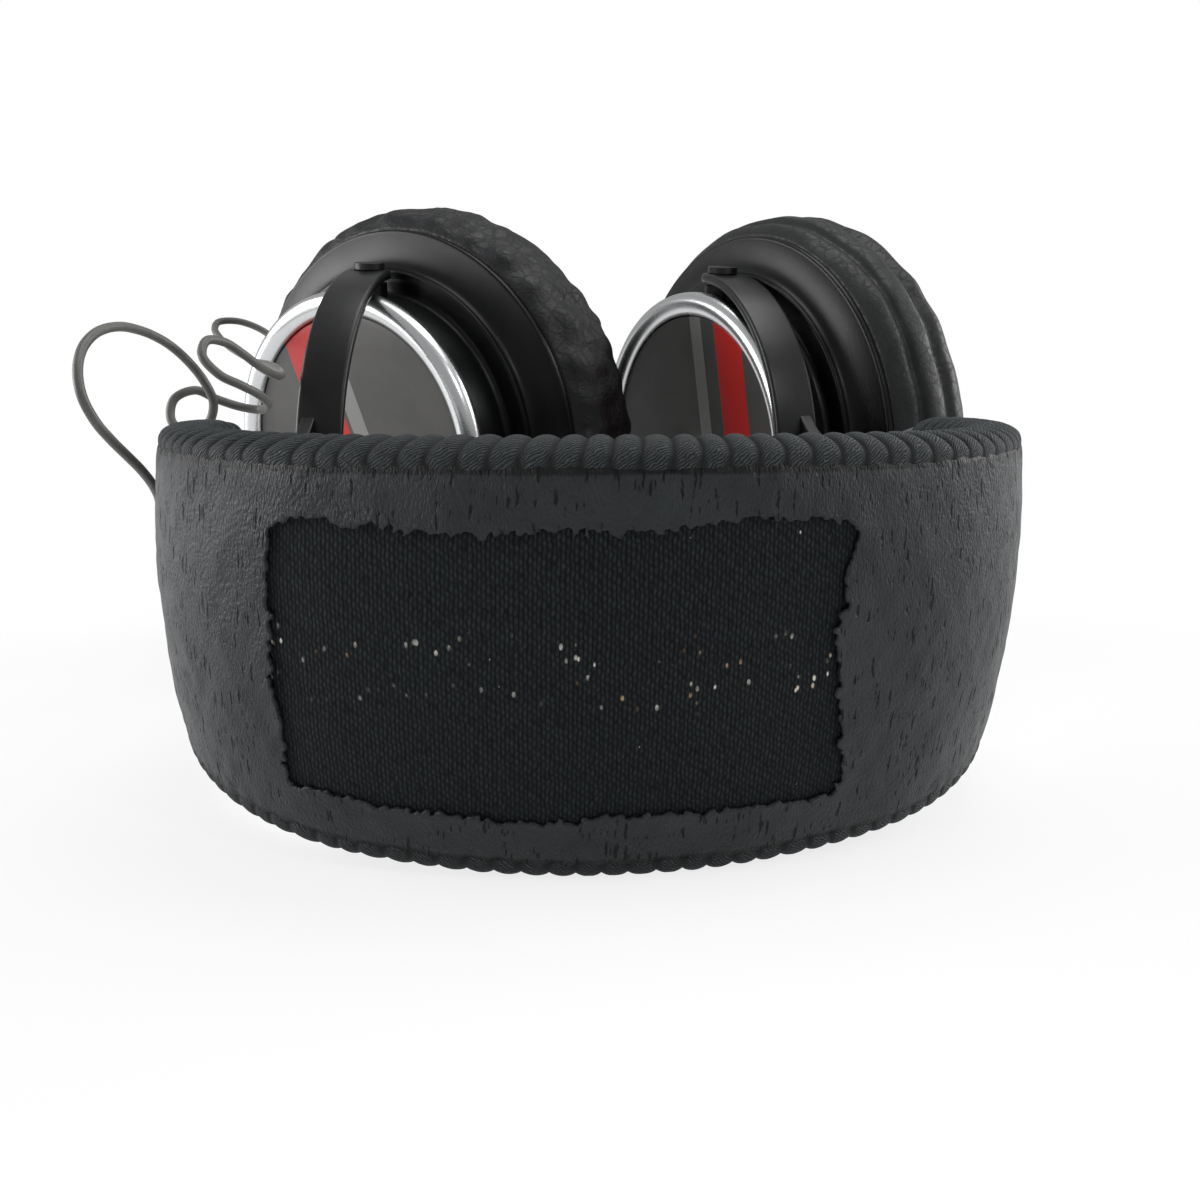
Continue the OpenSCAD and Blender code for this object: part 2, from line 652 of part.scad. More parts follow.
// Thin lead, in the left arm's frame: from the cup forward past its hanger, then in slack loops to the end cap
run_points = [
    [22.2, 10.8, 17.2], [26, 12.5, 19.9], [30.4, 11.8, 21.7], [32.9, 7.7, 22.1], [32, 3, 21.2],
    [29.3, -0.9, 20], [26.1, -4.7, 19.1], [23, -8.5, 18.7], [19.9, -12.4, 18.5], [17, -16.4, 18.4],
    [13.9, -20.3, 18.6], [10.9, -24.2, 19], [8.1, -28.3, 19.2], [5.6, -32.6, 19.3], [3.6, -37.1, 19.5],
    [2.3, -41.9, 20]
];
loop_points = [
    [2.3, -41.9, 20], [2.2, -45.2, 21], [2.8, -48.2, 22.5], [3.9, -50.8, 24.5], [5.4, -53.3, 26.4],
    [6.8, -56.3, 27], [6.4, -59, 25.1], [4.2, -58.8, 22.6], [2, -56.8, 20.9], [0.5, -54.2, 19.2],
    [0.4, -51.3, 17.4], [2.5, -49, 16], [5.8, -48.9, 16.3], [8.6, -50.6, 17.6], [11.1, -52.2, 19.1],
    [13.6, -54.1, 18], [13.6, -55.6, 15.1], [10.8, -56.2, 13.4], [7.8, -56.2, 14.9], [6.6, -56.3, 18.1],
    [7.6, -56.7, 21.3], [9.6, -57, 24.1], [11.4, -58.5, 26.5], [12.5, -61.3, 28.2], [13.1, -64.5, 29.3],
    [13.4, -67.9, 30], [13.7, -71.4, 30.1], [13.7, -74.8, 29.6], [13.6, -77.9, 28.2], [13, -80.5, 25.9],
    [12.1, -81.7, 22.9], [11.1, -81, 19.7], [10.3, -79.1, 17], [9.7, -76.7, 14.5], [9.4, -74.2, 12.2],
    [9.4, -71.7, 9.8], [9.9, -69.2, 7.4], [10.9, -66.8, 5.2], [12, -64.2, 3.1], [12.3, -61.2, 1.4],
    [11.2, -58.2, 0.3], [8.5, -56.2, 0], [5, -56.2, -0.1]
];
lead_sides = 8;
function unit(v) = v / norm(v);
// Smooth curve through the points, with the end stretches carried on straight
function smooth(p, parts) =
    let (n = len(p), q = concat([2 * p[0] - p[1]], p, [2 * p[n - 1] - p[n - 2]]))
    concat([for (i = [0 : n - 2], k = [0 : parts - 1])
        let (t = k / parts, a = q[i], b = q[i + 1], c = q[i + 2], d = q[i + 3])
        b + t * (c - a) / 2 + t * t * (a - 2.5 * b + 2 * c - d / 2) + t * t * t * (3 * (b - c) + d - a) / 2
    ], [p[n - 1]]);
module lead(points, parts) {
    path = smooth(points, parts);
    last = len(path) - 1;
    along = [for (i = [0 : last]) unit(path[min(i + 1, last)] - path[max(i - 1, 0)])];
    function square_to(v, t) = unit(v - (v * t) * t);
    ups = [for (i = 0, u = square_to([0, 0, 1], along[0]); i <= last;
        i = i + 1, u = i <= last ? square_to(u, along[i]) : u) u];
    color("#1c1d1e") arm(-1) sweep([for (i = [0 : last]) let (v = cross(along[i], ups[i]))
        [for (k = [0 : lead_sides - 1]) let (a = 360 * k / lead_sides)
            path[i] + lead_d / 2 * (cos(a) * ups[i] + sin(a) * v)]]);
}
module lead_run() { lead(run_points, 1); }
module lead_loops() { lead(loop_points, 2); }

outer_cover();
knit_backing();
foam_pad();
spring_band();
inner_cover();
upper_edge_lacing();
lower_edge_lacing();
left_end_cap();
right_end_cap();
left_detent_spring();
right_detent_spring();
end_cap_screws();
left_slider_bar();
right_slider_bar();
left_hanger();
right_hanger();
left_hanger_rivets();
right_hanger_rivets();
left_pivot_pins();
right_pivot_pins();
left_housing();
right_housing();
left_cap_plate();
right_cap_plate();
left_cap_ring();
right_cap_ring();
left_pivot_bushes();
right_pivot_bushes();
left_baffle();
right_baffle();
left_baffle_screws();
right_baffle_screws();
left_driver_frame();
right_driver_frame();
left_driver_magnet();
right_driver_magnet();
left_diaphragm();
right_diaphragm();
left_driver_cloth();
right_driver_cloth();
left_acoustic_ring();
right_acoustic_ring();
left_ear_pad();
right_ear_pad();
left_cup_grommet();
right_cup_grommet();
left_cap_grommet();
right_cap_grommet();
cord_inlet();
lead_run();
lead_loops();
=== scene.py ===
import math

import bmesh
import bpy
import numpy as np
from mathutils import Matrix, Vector


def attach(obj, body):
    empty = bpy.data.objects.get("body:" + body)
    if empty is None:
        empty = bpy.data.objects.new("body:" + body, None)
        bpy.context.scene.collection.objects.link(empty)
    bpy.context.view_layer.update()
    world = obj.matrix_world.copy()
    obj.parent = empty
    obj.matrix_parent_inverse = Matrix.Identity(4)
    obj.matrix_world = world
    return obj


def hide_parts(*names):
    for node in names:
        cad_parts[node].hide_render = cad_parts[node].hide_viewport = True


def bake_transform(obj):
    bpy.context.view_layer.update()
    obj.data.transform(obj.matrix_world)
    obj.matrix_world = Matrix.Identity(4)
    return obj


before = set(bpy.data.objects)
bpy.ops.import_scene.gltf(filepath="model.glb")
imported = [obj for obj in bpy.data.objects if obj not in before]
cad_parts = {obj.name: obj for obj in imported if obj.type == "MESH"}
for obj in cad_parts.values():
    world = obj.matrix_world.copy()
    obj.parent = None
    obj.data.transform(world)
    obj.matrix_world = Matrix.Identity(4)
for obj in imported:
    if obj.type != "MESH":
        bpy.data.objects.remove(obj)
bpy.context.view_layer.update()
print("frame loaded,", len(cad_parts), "nodes")

# camera, as the photograph was taken
view = {"place": (-0.026733, -0.203854, 0.054697), "pitch": 10.068, "yaw": 7.2115, "lens": 36.355,
        "sensor": 36, "nearest": 0.005}

cameraData = bpy.data.cameras.new("camera")
cameraData.lens = view["lens"]
cameraData.sensor_width = view["sensor"]
cameraData.clip_start = view["nearest"]
camera = bpy.data.objects.new("camera", cameraData)
bpy.context.scene.collection.objects.link(camera)
camera.location = view["place"]
camera.rotation_euler = (math.radians(90 - view["pitch"]), 0, math.radians(-view["yaw"]))
bpy.context.scene.camera = camera

# how the headphones lie on the table, in millimetres and degrees
lie = {"tilt": 9.10144, "lift": 24.007, "alongX": 6.8, "alongY": 81.3, "clear": 0.1}
arms = {"pivotX": 33.1527, "pivotY": 117.725, "angle": 14, "barDepth": 5.6, "pivotReach": 158}
cups = {"left": {"side": -1, "turn": 64}, "right": {"side": 1, "turn": 169}}


def toRow(x, y, z):
    tilt = math.radians(lie["tilt"])
    across = y * math.cos(tilt) - z * math.sin(tilt) - lie["alongY"]
    up = y * math.sin(tilt) + z * math.cos(tilt) + lie["lift"]
    return np.stack(np.broadcast_arrays(x - lie["alongX"], across, up), -1) / 1000


# x out of the arm, y along it away from the band, z across it, from the pivots
def armPoint(side, x, y, z, turn=0):
    angle = math.radians(arms["angle"] - turn)
    px = side * (arms["pivotX"] + x * math.cos(angle) - y * math.sin(angle))
    py = arms["pivotY"] + x * math.sin(angle) + y * math.cos(angle)
    return toRow(px, py, z)


def cupPoint(cup, height, radius, turn):
    at = cups[cup]
    return armPoint(at["side"], height, radius * np.cos(turn), radius * np.sin(turn), at["turn"])


# soft uneven field made of plane waves, each from shortest to longest times the size
def uneven(x, y, z, size, seed, waves=28, shortest=0.7, longest=1.5):
    draw = np.random.default_rng(seed)
    total = 0
    for _ in range(waves):
        way = draw.normal(size=3)
        way *= 2 * math.pi / (np.linalg.norm(way) * size * draw.uniform(shortest, longest))
        total = total + np.sin(way[0] * x + way[1] * y + way[2] * z + draw.uniform(0, 2 * math.pi))
    return total / math.sqrt(waves / 2)


# such a field over a sheet, from its height, size and seed
def wavy(s, z, wave):
    height, size, seed = wave
    return height * uneven(s, z, 0, size, seed)


# a power that keeps the sign, so that a circle squares up
def squarish(value, power):
    return np.sign(value) * np.abs(value) ** power


# angles all the way round
def wholeTurn(steps):
    return np.linspace(0, 2 * math.pi, steps, endpoint=False)


# keeps a soft piece just clear of the table
def aboveTable(points):
    points[..., 2] = np.maximum(points[..., 2], lie["clear"] / 1000)
    return points


def addObject(name, data):
    piece = bpy.data.objects.new(name, data)
    bpy.context.scene.collection.objects.link(piece)
    return piece


# mesh over a grid of points, with flat positions in millimetres as its UV map
def gridPiece(name, points, closeU=False, closeV=False, flat=None, keep=None):
    nu, nv = points.shape[:2]
    index = np.arange(nu * nv).reshape(nu, nv)
    u = np.arange(nu if closeU else nu - 1)[:, None]
    v = np.arange(nv if closeV else nv - 1)[None, :]
    quads = np.stack([index[u, v], index[(u + 1) % nu, v],
                      index[(u + 1) % nu, (v + 1) % nv], index[u, (v + 1) % nv]], -1)
    quads = quads[keep] if keep is not None else quads.reshape(-1, 4)
    used, quads = np.unique(quads, return_inverse=True)
    quads = quads.reshape(-1, 4)
    mesh = bpy.data.meshes.new(name)
    mesh.from_pydata(points.reshape(-1, 3)[used].tolist(), [], quads.tolist())
    if flat is not None:
        layer = mesh.uv_layers.new(name="flat")
        layer.data.foreach_set("uv", flat.reshape(-1, 2)[used][quads.ravel()].ravel())
    mesh.shade_smooth()
    return addObject(name, mesh)


# closes, welds and turns the faces of a solid mesh outwards
def tidySolid(piece, weld=1e-6):
    work = bmesh.new()
    work.from_mesh(piece.data)
    bmesh.ops.remove_doubles(work, verts=work.verts, dist=weld)
    bmesh.ops.dissolve_degenerate(work, edges=work.edges, dist=weld / 10)
    holes = [e for e in work.edges if e.is_boundary]
    if holes:
        bmesh.ops.holes_fill(work, edges=holes)
    bmesh.ops.recalc_face_normals(work, faces=work.faces)
    work.to_mesh(piece.data)
    work.free()
    piece.data.shade_smooth()
    return piece


# rounds the corners of a closed outline, each over at most this share of its two sides
def rounded(outline, size, steps=5, most=0.48):
    made = []
    count = len(outline)
    for i in range(count):
        corner = np.array(outline[i], float)
        sides = []
        for other in (outline[i - 1], outline[(i + 1) % count]):
            side = np.array(other, float) - corner
            length = np.linalg.norm(side)
            sides.append(side * (min(size, most * length) / max(length, 1e-9)))
        for k in range(steps + 1):
            t = k / steps
            made.append(corner + sides[0] * (1 - t) ** 2 + sides[1] * t ** 2)
    return np.array(made)


def turnedPiece(name, cup, outline, steps=192):
    turn = wholeTurn(steps)[:, None]
    outline = np.array(outline, float)
    points = cupPoint(cup, outline[None, :, 1] + 0 * turn, outline[None, :, 0] + 0 * turn, turn)
    return tidySolid(gridPiece(name, points, True, True))


# smooth curve through points, as the solids have it
def smoothPath(points, parts):
    p = np.array(points, float)
    q = np.vstack([2 * p[0] - p[1], p, 2 * p[-1] - p[-2]])
    made = []
    for i in range(len(p) - 1):
        a, b, c, d = q[i:i + 4]
        for k in range(parts):
            t = k / parts
            made.append(b + t * (c - a) / 2 + t * t * (a - 2.5 * b + 2 * c - d / 2)
                        + t ** 3 * (3 * (b - c) + d - a) / 2)
    return np.array(made + [p[-1]])


def tubePiece(name, path, radius, sides=14):
    along = np.gradient(path, axis=0)
    along /= np.linalg.norm(along, axis=1, keepdims=True)
    up = np.array([0, 0, 1.0])
    rings = []
    turn = wholeTurn(sides)[:, None]
    for point, way in zip(path, along):
        up = up - (up @ way) * way
        up /= np.linalg.norm(up)
        rings.append(point + radius * (np.cos(turn) * up + np.sin(turn) * np.cross(way, up)))
    return tidySolid(gridPiece(name, np.array(rings), False, True))


# thin lead from the left cup to the left end of the band, slack and looped, in the left arm's frame
leads = {
    "diameter": 1.3,
    "parts": 8,
    "run": [
        [22.2, 10.8, 17.2], [26, 12.5, 19.9], [30.4, 11.8, 21.7], [32.9, 7.7, 22.1], [32, 3, 21.2],
        [29.3, -0.9, 20], [26.1, -4.7, 19.1], [23, -8.5, 18.7], [19.9, -12.4, 18.5], [17, -16.4, 18.4],
        [13.9, -20.3, 18.6], [10.9, -24.2, 19], [8.1, -28.3, 19.2], [5.6, -32.6, 19.3], [3.6, -37.1, 19.5],
        [2.3, -41.9, 20]],
    "loops": [
        [2.3, -41.9, 20], [2.2, -45.2, 21], [2.8, -48.2, 22.5], [3.9, -50.8, 24.5], [5.4, -53.3, 26.4],
        [6.8, -56.3, 27], [6.4, -59, 25.1], [4.2, -58.8, 22.6], [2, -56.8, 20.9], [0.5, -54.2, 19.2],
        [0.4, -51.3, 17.4], [2.5, -49, 16], [5.8, -48.9, 16.3], [8.6, -50.6, 17.6], [11.1, -52.2, 19.1],
        [13.6, -54.1, 18], [13.6, -55.6, 15.1], [10.8, -56.2, 13.4], [7.8, -56.2, 14.9], [6.6, -56.3, 18.1],
        [7.6, -56.7, 21.3], [9.6, -57, 24.1], [11.4, -58.5, 26.5], [12.5, -61.3, 28.2], [13.1, -64.5, 29.3],
        [13.4, -67.9, 30], [13.7, -71.4, 30.1], [13.7, -74.8, 29.6], [13.6, -77.9, 28.2], [13, -80.5, 25.9],
        [12.1, -81.7, 22.9], [11.1, -81, 19.7], [10.3, -79.1, 17], [9.7, -76.7, 14.5], [9.4, -74.2, 12.2],
        [9.4, -71.7, 9.8], [9.9, -69.2, 7.4], [10.9, -66.8, 5.2], [12, -64.2, 3.1], [12.3, -61.2, 1.4],
        [11.2, -58.2, 0.3], [8.5, -56.2, 0], [5, -56.2, -0.1]],
}


def leadAt(points):
    return armPoint(-1, *np.array(points, float).T)


# ends are the two points of the lead between which it passes from one body to the other; their places are
# worked out but not used
def addLead(name, points, ends):
    path = leadAt(smoothPath(points, leads["parts"]))
    piece = tubePiece(name, path, leads["diameter"] / 2000)
    start, end = (tuple(leadAt(points[i])) for i in ends)
    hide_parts(name.replace("visual_", ""))
    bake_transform(piece)
    return piece


leadRun = addLead("visual_lead_run", leads["run"], (-3, 0))
leadLoops = addLead("visual_lead_loops", leads["loops"], (-1, 0))

# padded band: crown arc, shoulder arcs, then straight arms, measured along its outer face
band = {"width": 50, "endWidth": 36, "thick": 9.2, "swell": 1.8, "half": 90, "crownR": 87,
        "crownAngle": 21, "shoulderR": 39.4, "lacing": 2.3, "scallops": 58, "seams": 4}
pitch = 2 * band["half"] / band["scallops"]


def bandPlan(s, depth):
    crownAngle = math.radians(band["crownAngle"])
    endHeading = math.radians(90 + arms["angle"])
    crownLength = band["crownR"] * crownAngle
    armStart = crownLength + band["shoulderR"] * (endHeading - crownAngle)
    centre = (band["crownR"] - band["shoulderR"]) * np.array([math.sin(crownAngle), -math.cos(crownAngle)])
    a = np.abs(s)
    onCrown = a < crownLength
    bend = crownAngle + (np.minimum(a, armStart) - crownLength) / band["shoulderR"]
    heading = np.where(onCrown, a / band["crownR"], bend)
    outX = np.sin(heading)
    outY = -np.cos(heading)
    beyond = np.maximum(a - armStart, 0)
    x = np.where(onCrown, band["crownR"] * outX,
                 centre[0] + band["shoulderR"] * outX + beyond * math.cos(endHeading))
    y = np.where(onCrown, band["crownR"] * outY,
                 centre[1] + band["shoulderR"] * outY + beyond * math.sin(endHeading)) + band["crownR"]
    return np.where(s < 0, -1, 1) * (x - depth * outX), y - depth * outY


def halfWidth(s):
    return (band["width"] - (band["width"] - band["endWidth"]) * (s / band["half"]) ** 2) / 2


def bandPoint(s, depth, z):
    x, y = bandPlan(s, depth)
    return toRow(x, y, z)


def pillow(s, z, level):
    return level * band["thick"] + (1 - 2 * level) * band["swell"] * (z / halfWidth(s)) ** 2


# 1 at each stitch of the lacing, 0 midway between two
def gathers(s):
    return 0.5 + 0.5 * np.cos(2 * math.pi * s / pitch)


# places along the band, and shares of its half width
def bandGrid(steps, rows, inset=0):
    along = np.linspace(-1, 1, steps) * (band["half"] - inset)
    return np.meshgrid(along, np.linspace(-1, 1, rows), indexing="ij")


def thicken(piece, thick):
    bulk = piece.modifiers.new("thickness", "SOLIDIFY")
    bulk.thickness = thick / 1000
    bulk.offset = 1


# outer cover: leatherette, puckered along its seams and peeled over the crown
cover = {
    "steps": 560, "rows": 141, "thick": 0.5, "under": 0.3, "tuck": 0.35, "tuckReach": 1.1,
    "pucker": 0.15, "puckerReach": 1.7, "curl": 0.07, "curlReach": 0.7, "slide": 0.25, "leastSlope": 0.25,
    # height, size and seed of the torn edge's teeth and flaps and of the waves over the face
    "teeth": (0.216, 1.3, 4), "flaps": (0.1296, 2.9, 7), "waves": ((0.05, 9, 11), (0.03, 3, 12)),
    # outline of the peeled place, along and across the band
    "peel": [
        [-40.8, 12.9], [-39.7, 15.2], [-36.1, 16.2], [-33.8, 16.3], [-31.6, 15.7], [-28.2, 16.2],
        [-25.8, 15.7], [-18.8, 15.7], [-15.3, 15.6], [-10, 16.4], [-3.1, 16], [4.8, 16.5], [8.2, 17.1],
        [11.7, 17.6], [16.7, 16.6], [19.1, 17.1], [22.4, 15.9], [24.1, 15.3], [23.2, 12.7], [22.7, 9.8],
        [22.7, 6.9], [21.5, 3.9], [22.5, 1.7], [22.6, -1.8], [23.3, -6.8], [24.3, -12.1], [24.4, -16.1],
        [19.6, -16.6], [14.5, -16.4], [7.3, -16.5], [-3.4, -16.3], [-8.8, -17.1], [-14.1, -17.2],
        [-21.3, -16.5], [-29.6, -16.4], [-35.1, -15.4], [-40, -15.8], [-40.4, -12.9], [-40.2, -7.4],
        [-41.2, -4.1], [-40.8, 1.9], [-40.8, 6.5]],
}


# distance from a closed outline, above zero outside it
def outlineDistance(outline, x, y):
    near = np.full(x.shape, 1e9)
    inside = np.zeros(x.shape, bool)
    for (ax, ay), (bx, by) in zip(outline, outline[1:] + outline[:1]):
        t = np.clip(((x - ax) * (bx - ax) + (y - ay) * (by - ay)) / ((bx - ax) ** 2 + (by - ay) ** 2), 0, 1)
        near = np.minimum(near, np.hypot(x - ax - t * (bx - ax), y - ay - t * (by - ay)))
        crosses = (ay > y) != (by > y)
        inside ^= crosses & (x < (bx - ax) * (y - ay) / (by - ay + 1e-12) + ax)
    return np.where(inside, -near, near)


def raggedDistance(s, z):
    away = outlineDistance(cover["peel"], s, z)
    return away + wavy(s, z, cover["teeth"]) + np.abs(wavy(s, z, cover["flaps"]))


def coverDepth(s, z, edge, peel):
    fromSeam = np.maximum(edge - np.abs(z), 0)
    depth = pillow(s, z, 0)
    depth = depth + cover["tuck"] * np.maximum(1 - fromSeam / cover["tuckReach"], 0) ** 2
    depth = depth + cover["pucker"] * gathers(s) * np.exp(-(fromSeam / cover["puckerReach"]) ** 2)
    for wave in cover["waves"]:
        depth = depth + wavy(s, z, wave)
    return depth - cover["curl"] * np.exp(-np.maximum(peel, 0) / cover["curlReach"])


def makeOuterCover():
    s, share = bandGrid(cover["steps"], cover["rows"])
    edge = halfWidth(s) - band["lacing"] + cover["under"]
    z = share * edge
    peel = raggedDistance(s, z)
    faceMean = (peel[:-1, :-1] + peel[1:, :-1] + peel[1:, 1:] + peel[:-1, 1:]) / 4
    keep = faceMean > 0
    # vertices on the torn edge slide onto it
    touch = np.zeros((2,) + s.shape, bool)
    for i, wanted in enumerate((keep, ~keep)):
        for du in (0, 1):
            for dv in (0, 1):
                touch[i, du:s.shape[0] - 1 + du, dv:s.shape[1] - 1 + dv] |= wanted
    torn = touch[0] & touch[1]
    slopeS = np.gradient(peel, axis=0) / (s[1, 0] - s[0, 0])
    slopeZ = np.gradient(peel, axis=1) / np.gradient(z, axis=1)
    steep = np.maximum(slopeS ** 2 + slopeZ ** 2, cover["leastSlope"])
    most = cover["slide"]
    s = s - np.where(torn, np.clip(peel * slopeS / steep, -most, most), 0)
    z = z - np.where(torn, np.clip(peel * slopeZ / steep, -most, most), 0)
    points = bandPoint(s, coverDepth(s, z, edge, peel), z)
    piece = gridPiece("visual_outer_cover", points, flat=np.stack([s, z], -1), keep=keep)
    thicken(piece, cover["thick"])
    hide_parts("outer_cover")
    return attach(piece, "headband")


outerCover = makeOuterCover()
print("outer cover:", len(outerCover.data.polygons), "faces")

# knit under the leatherette
knit = {"steps": 240, "rows": 61, "level": 0.068, "thick": 0.5, "inset": 0.2, "wave": (0.03, 7, 21)}


def makeKnit():
    s, share = bandGrid(knit["steps"], knit["rows"], knit["inset"])
    z = share * (halfWidth(s) - band["lacing"])
    depth = pillow(s, z, knit["level"]) + wavy(s, z, knit["wave"])
    piece = gridPiece("visual_knit_backing", bandPoint(s, depth, z), flat=np.stack([s, z], -1))
    thicken(piece, knit["thick"])
    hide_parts("knit_backing")
    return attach(piece, "headband")


knitBacking = makeKnit()

# inside of the band: leatherette over foam, gathered along its seams, thinner where the slider bars run
innerPad = {"steps": 260, "rows": 60, "inset": 0.3, "top": 0.42, "endTop": 0.76, "endFrom": 75,
            "acrossPower": 0.5, "facePower": 0.35, "wave": (0.075, 8, 31), "pucker": 0.12,
            "puckerReach": 2, "innerFace": 0.4}


def makeInnerPad():
    p = innerPad
    s = np.linspace(-1, 1, p["steps"])[:, None] * (band["half"] - p["inset"])
    turn = wholeTurn(2 * p["rows"])[None, :]
    edge = halfWidth(s) - band["lacing"]
    z = squarish(np.cos(turn), p["acrossPower"]) * edge
    face = squarish(np.sin(turn), p["facePower"])
    inner = band["thick"] - band["swell"] * (z / halfWidth(s)) ** 2
    outer = np.where(np.abs(s) < p["endFrom"], p["top"], p["endTop"]) * band["thick"]
    depth = (inner + outer) / 2 + face * (inner - outer) / 2
    fromSeam = np.maximum(edge - np.abs(z), 0)
    soft = wavy(s, z, p["wave"]) - p["pucker"] * gathers(s) * np.exp(-(fromSeam / p["puckerReach"]) ** 2)
    depth = depth + np.where(face > p["innerFace"], soft, 0)
    s = s + 0 * z
    piece = gridPiece("visual_inner_cover", bandPoint(s, depth, z), False, True, flat=np.stack([s, z], -1))
    tidySolid(piece)
    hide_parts("inner_cover", "foam_pad")
    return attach(piece, "headband")


innerCover = makeInnerPad()

# lacing that binds both edges, drawn in at each stitch
lacing = {
    "perScallop": 18, "round": 30, "inset": 0.05, "from": -14, "to": 194, "power": 2.5, "lobe": 0.55,
    "draw": 0.34, "drawDeep": 0.07, "over": 0.75, "seat": 0.25, "low": 0.1,
    # lean of the stitches, which fades towards the right end
    "slant": 0.42, "fade": 0.9, "fadeSpan": 60, "leftmost": -0.2,
    # height, size and seed of the unevenness along the edge and upwards
    "sway": (0.06, 7, 41), "rise": (0.005, 5, 43),
}


def makeLacing(name, edge, node):
    k = lacing
    count = band["scallops"] * k["perScallop"] + 1
    s = np.linspace(-1, 1, count)[:, None] * (band["half"] - k["inset"])
    turn = np.linspace(math.radians(k["from"]), math.radians(k["to"]), k["round"])[None, :]
    slant = k["slant"] * (1 - k["fade"] * np.clip(s / k["fadeSpan"], k["leftmost"], 1))
    phase = s / pitch + slant * np.cos(turn) / 2 + wavy(s, 0, k["sway"])
    lobe = np.abs(np.sin(math.pi * phase)) ** k["lobe"]
    draw = 1 - k["draw"] * (1 - lobe)
    across = squarish(np.cos(turn), 2 / k["power"])
    rise = squarish(np.sin(turn), 2 / k["power"])
    halfThick = band["thick"] / 2 - band["swell"] + k["over"]
    depth = band["thick"] / 2 - across * halfThick * (1 - k["drawDeep"] * (1 - draw))
    base = halfWidth(s) - band["lacing"] + k["seat"]
    top = (band["lacing"] - k["low"]) * draw * (1 + wavy(s, 0, k["rise"]))
    z = edge * (base + rise * top)
    # length round the section, for the flat map
    section = np.stack([across * halfThick, rise * band["lacing"]])
    arc = np.cumsum(np.linalg.norm(np.diff(section, axis=2, prepend=section[..., :1]), axis=0), axis=1)
    flat = np.stack(np.broadcast_arrays(phase * pitch, arc), -1)
    points = aboveTable(bandPoint(s + 0 * z, depth, z))
    piece = tidySolid(gridPiece(name, points, False, True, flat=flat))
    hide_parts(node)
    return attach(piece, "headband")


upperLacing = makeLacing("visual_upper_edge_lacing", 1, "upper_edge_lacing")
lowerLacing = makeLacing("visual_lower_edge_lacing", -1, "lower_edge_lacing")
print("band dressed")

# cups, [radius, height] with the height outwards from the pivots
cupSizes = {
    "neckR": 28.6, "neckTop": 4.2, "step": -4.6, "shoulderR": 33.2, "flangeR": 40.2, "flangeTop": -8.2,
    "flange": -11.6, "ringR": 30, "ringW": 4.4, "ringH": 3, "ringSide": 0.8, "domeSteps": 25, "seat": 0.1,
    "axis": 0.01, "flareDrop": 0.8, "flareFrom": 0.15, "flareSteps": 9, "chamfer": 0.7,
    # inside of the housing
    "wall": 2, "lipW": 2.4, "floor": -9.6, "floorR": 33.6, "shelfR": 31.2, "boreR": 26.6,
}
capSeat = cupSizes["neckTop"] + cupSizes["seat"]
padSeat = cupSizes["flange"] - cupSizes["seat"]


def makeHousing(cup):
    c = cupSizes
    flareTop = c["step"] - c["flareDrop"]
    flare = [[c["shoulderR"] + (c["flangeR"] - c["shoulderR"]) * (1 - math.cos(t)),
              flareTop - (flareTop - c["flangeTop"]) * math.sin(t)]
             for t in np.linspace(c["flareFrom"], math.pi / 2, c["flareSteps"])]
    lipR = c["flangeR"] - c["lipW"]
    shelf = c["step"] - c["wall"]
    roof = c["neckTop"] - c["wall"]
    outline = [[c["axis"], c["neckTop"]], [c["neckR"], c["neckTop"]],
               [c["neckR"], c["step"] + c["chamfer"]], [c["neckR"] + c["chamfer"], c["step"]],
               [c["shoulderR"], c["step"]], [c["shoulderR"], flareTop]] + flare
    outline += [[c["flangeR"], c["flange"]], [lipR, c["flange"]], [lipR, c["floor"]],
                [c["floorR"], c["floor"]], [c["shelfR"], shelf], [c["boreR"], shelf],
                [c["boreR"], roof], [c["axis"], roof]]
    piece = turnedPiece("visual_" + cup + "_housing", cup, rounded(outline, c["chamfer"]))
    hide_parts(cup + "_housing")
    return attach(piece, cup + "_cup")


def makeRing(cup):
    c = cupSizes
    inner = c["ringR"] - c["ringW"]
    dome = [[inner + c["ringW"] / 2 * (1 + math.cos(t)),
             capSeat + c["ringSide"] + (c["ringH"] - c["ringSide"]) * math.sin(t)]
            for t in np.linspace(0, math.pi, c["domeSteps"])]
    outline = [[inner, capSeat], [c["ringR"], capSeat]] + dome
    piece = turnedPiece("visual_" + cup + "_cap_ring", cup, outline, steps=256)
    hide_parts(cup + "_cap_ring")
    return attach(piece, cup + "_cup")


# cap plate: a flat rim, then dished, by share of the radius and height
plate = {"rim": 1.2, "edge": 1.25, "dish": ((0.66, 1.22), (0.33, 1.2)), "middle": 1.2, "round": 0.25}


def makePlate(cup):
    c = cupSizes
    radius = c["ringR"] - c["ringW"] - c["seat"]
    edge = capSeat + plate["edge"]
    outline = [[c["axis"], capSeat], [radius, capSeat], [radius, edge], [radius - plate["rim"], edge]]
    outline += [[radius * share, capSeat + height] for share, height in plate["dish"]]
    outline += [[c["axis"], capSeat + plate["middle"]]]
    outline = rounded(outline, plate["round"], steps=3)
    piece = turnedPiece("visual_" + cup + "_cap_plate", cup, outline, steps=128)
    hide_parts(cup + "_cap_plate")
    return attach(piece, cup + "_cup")


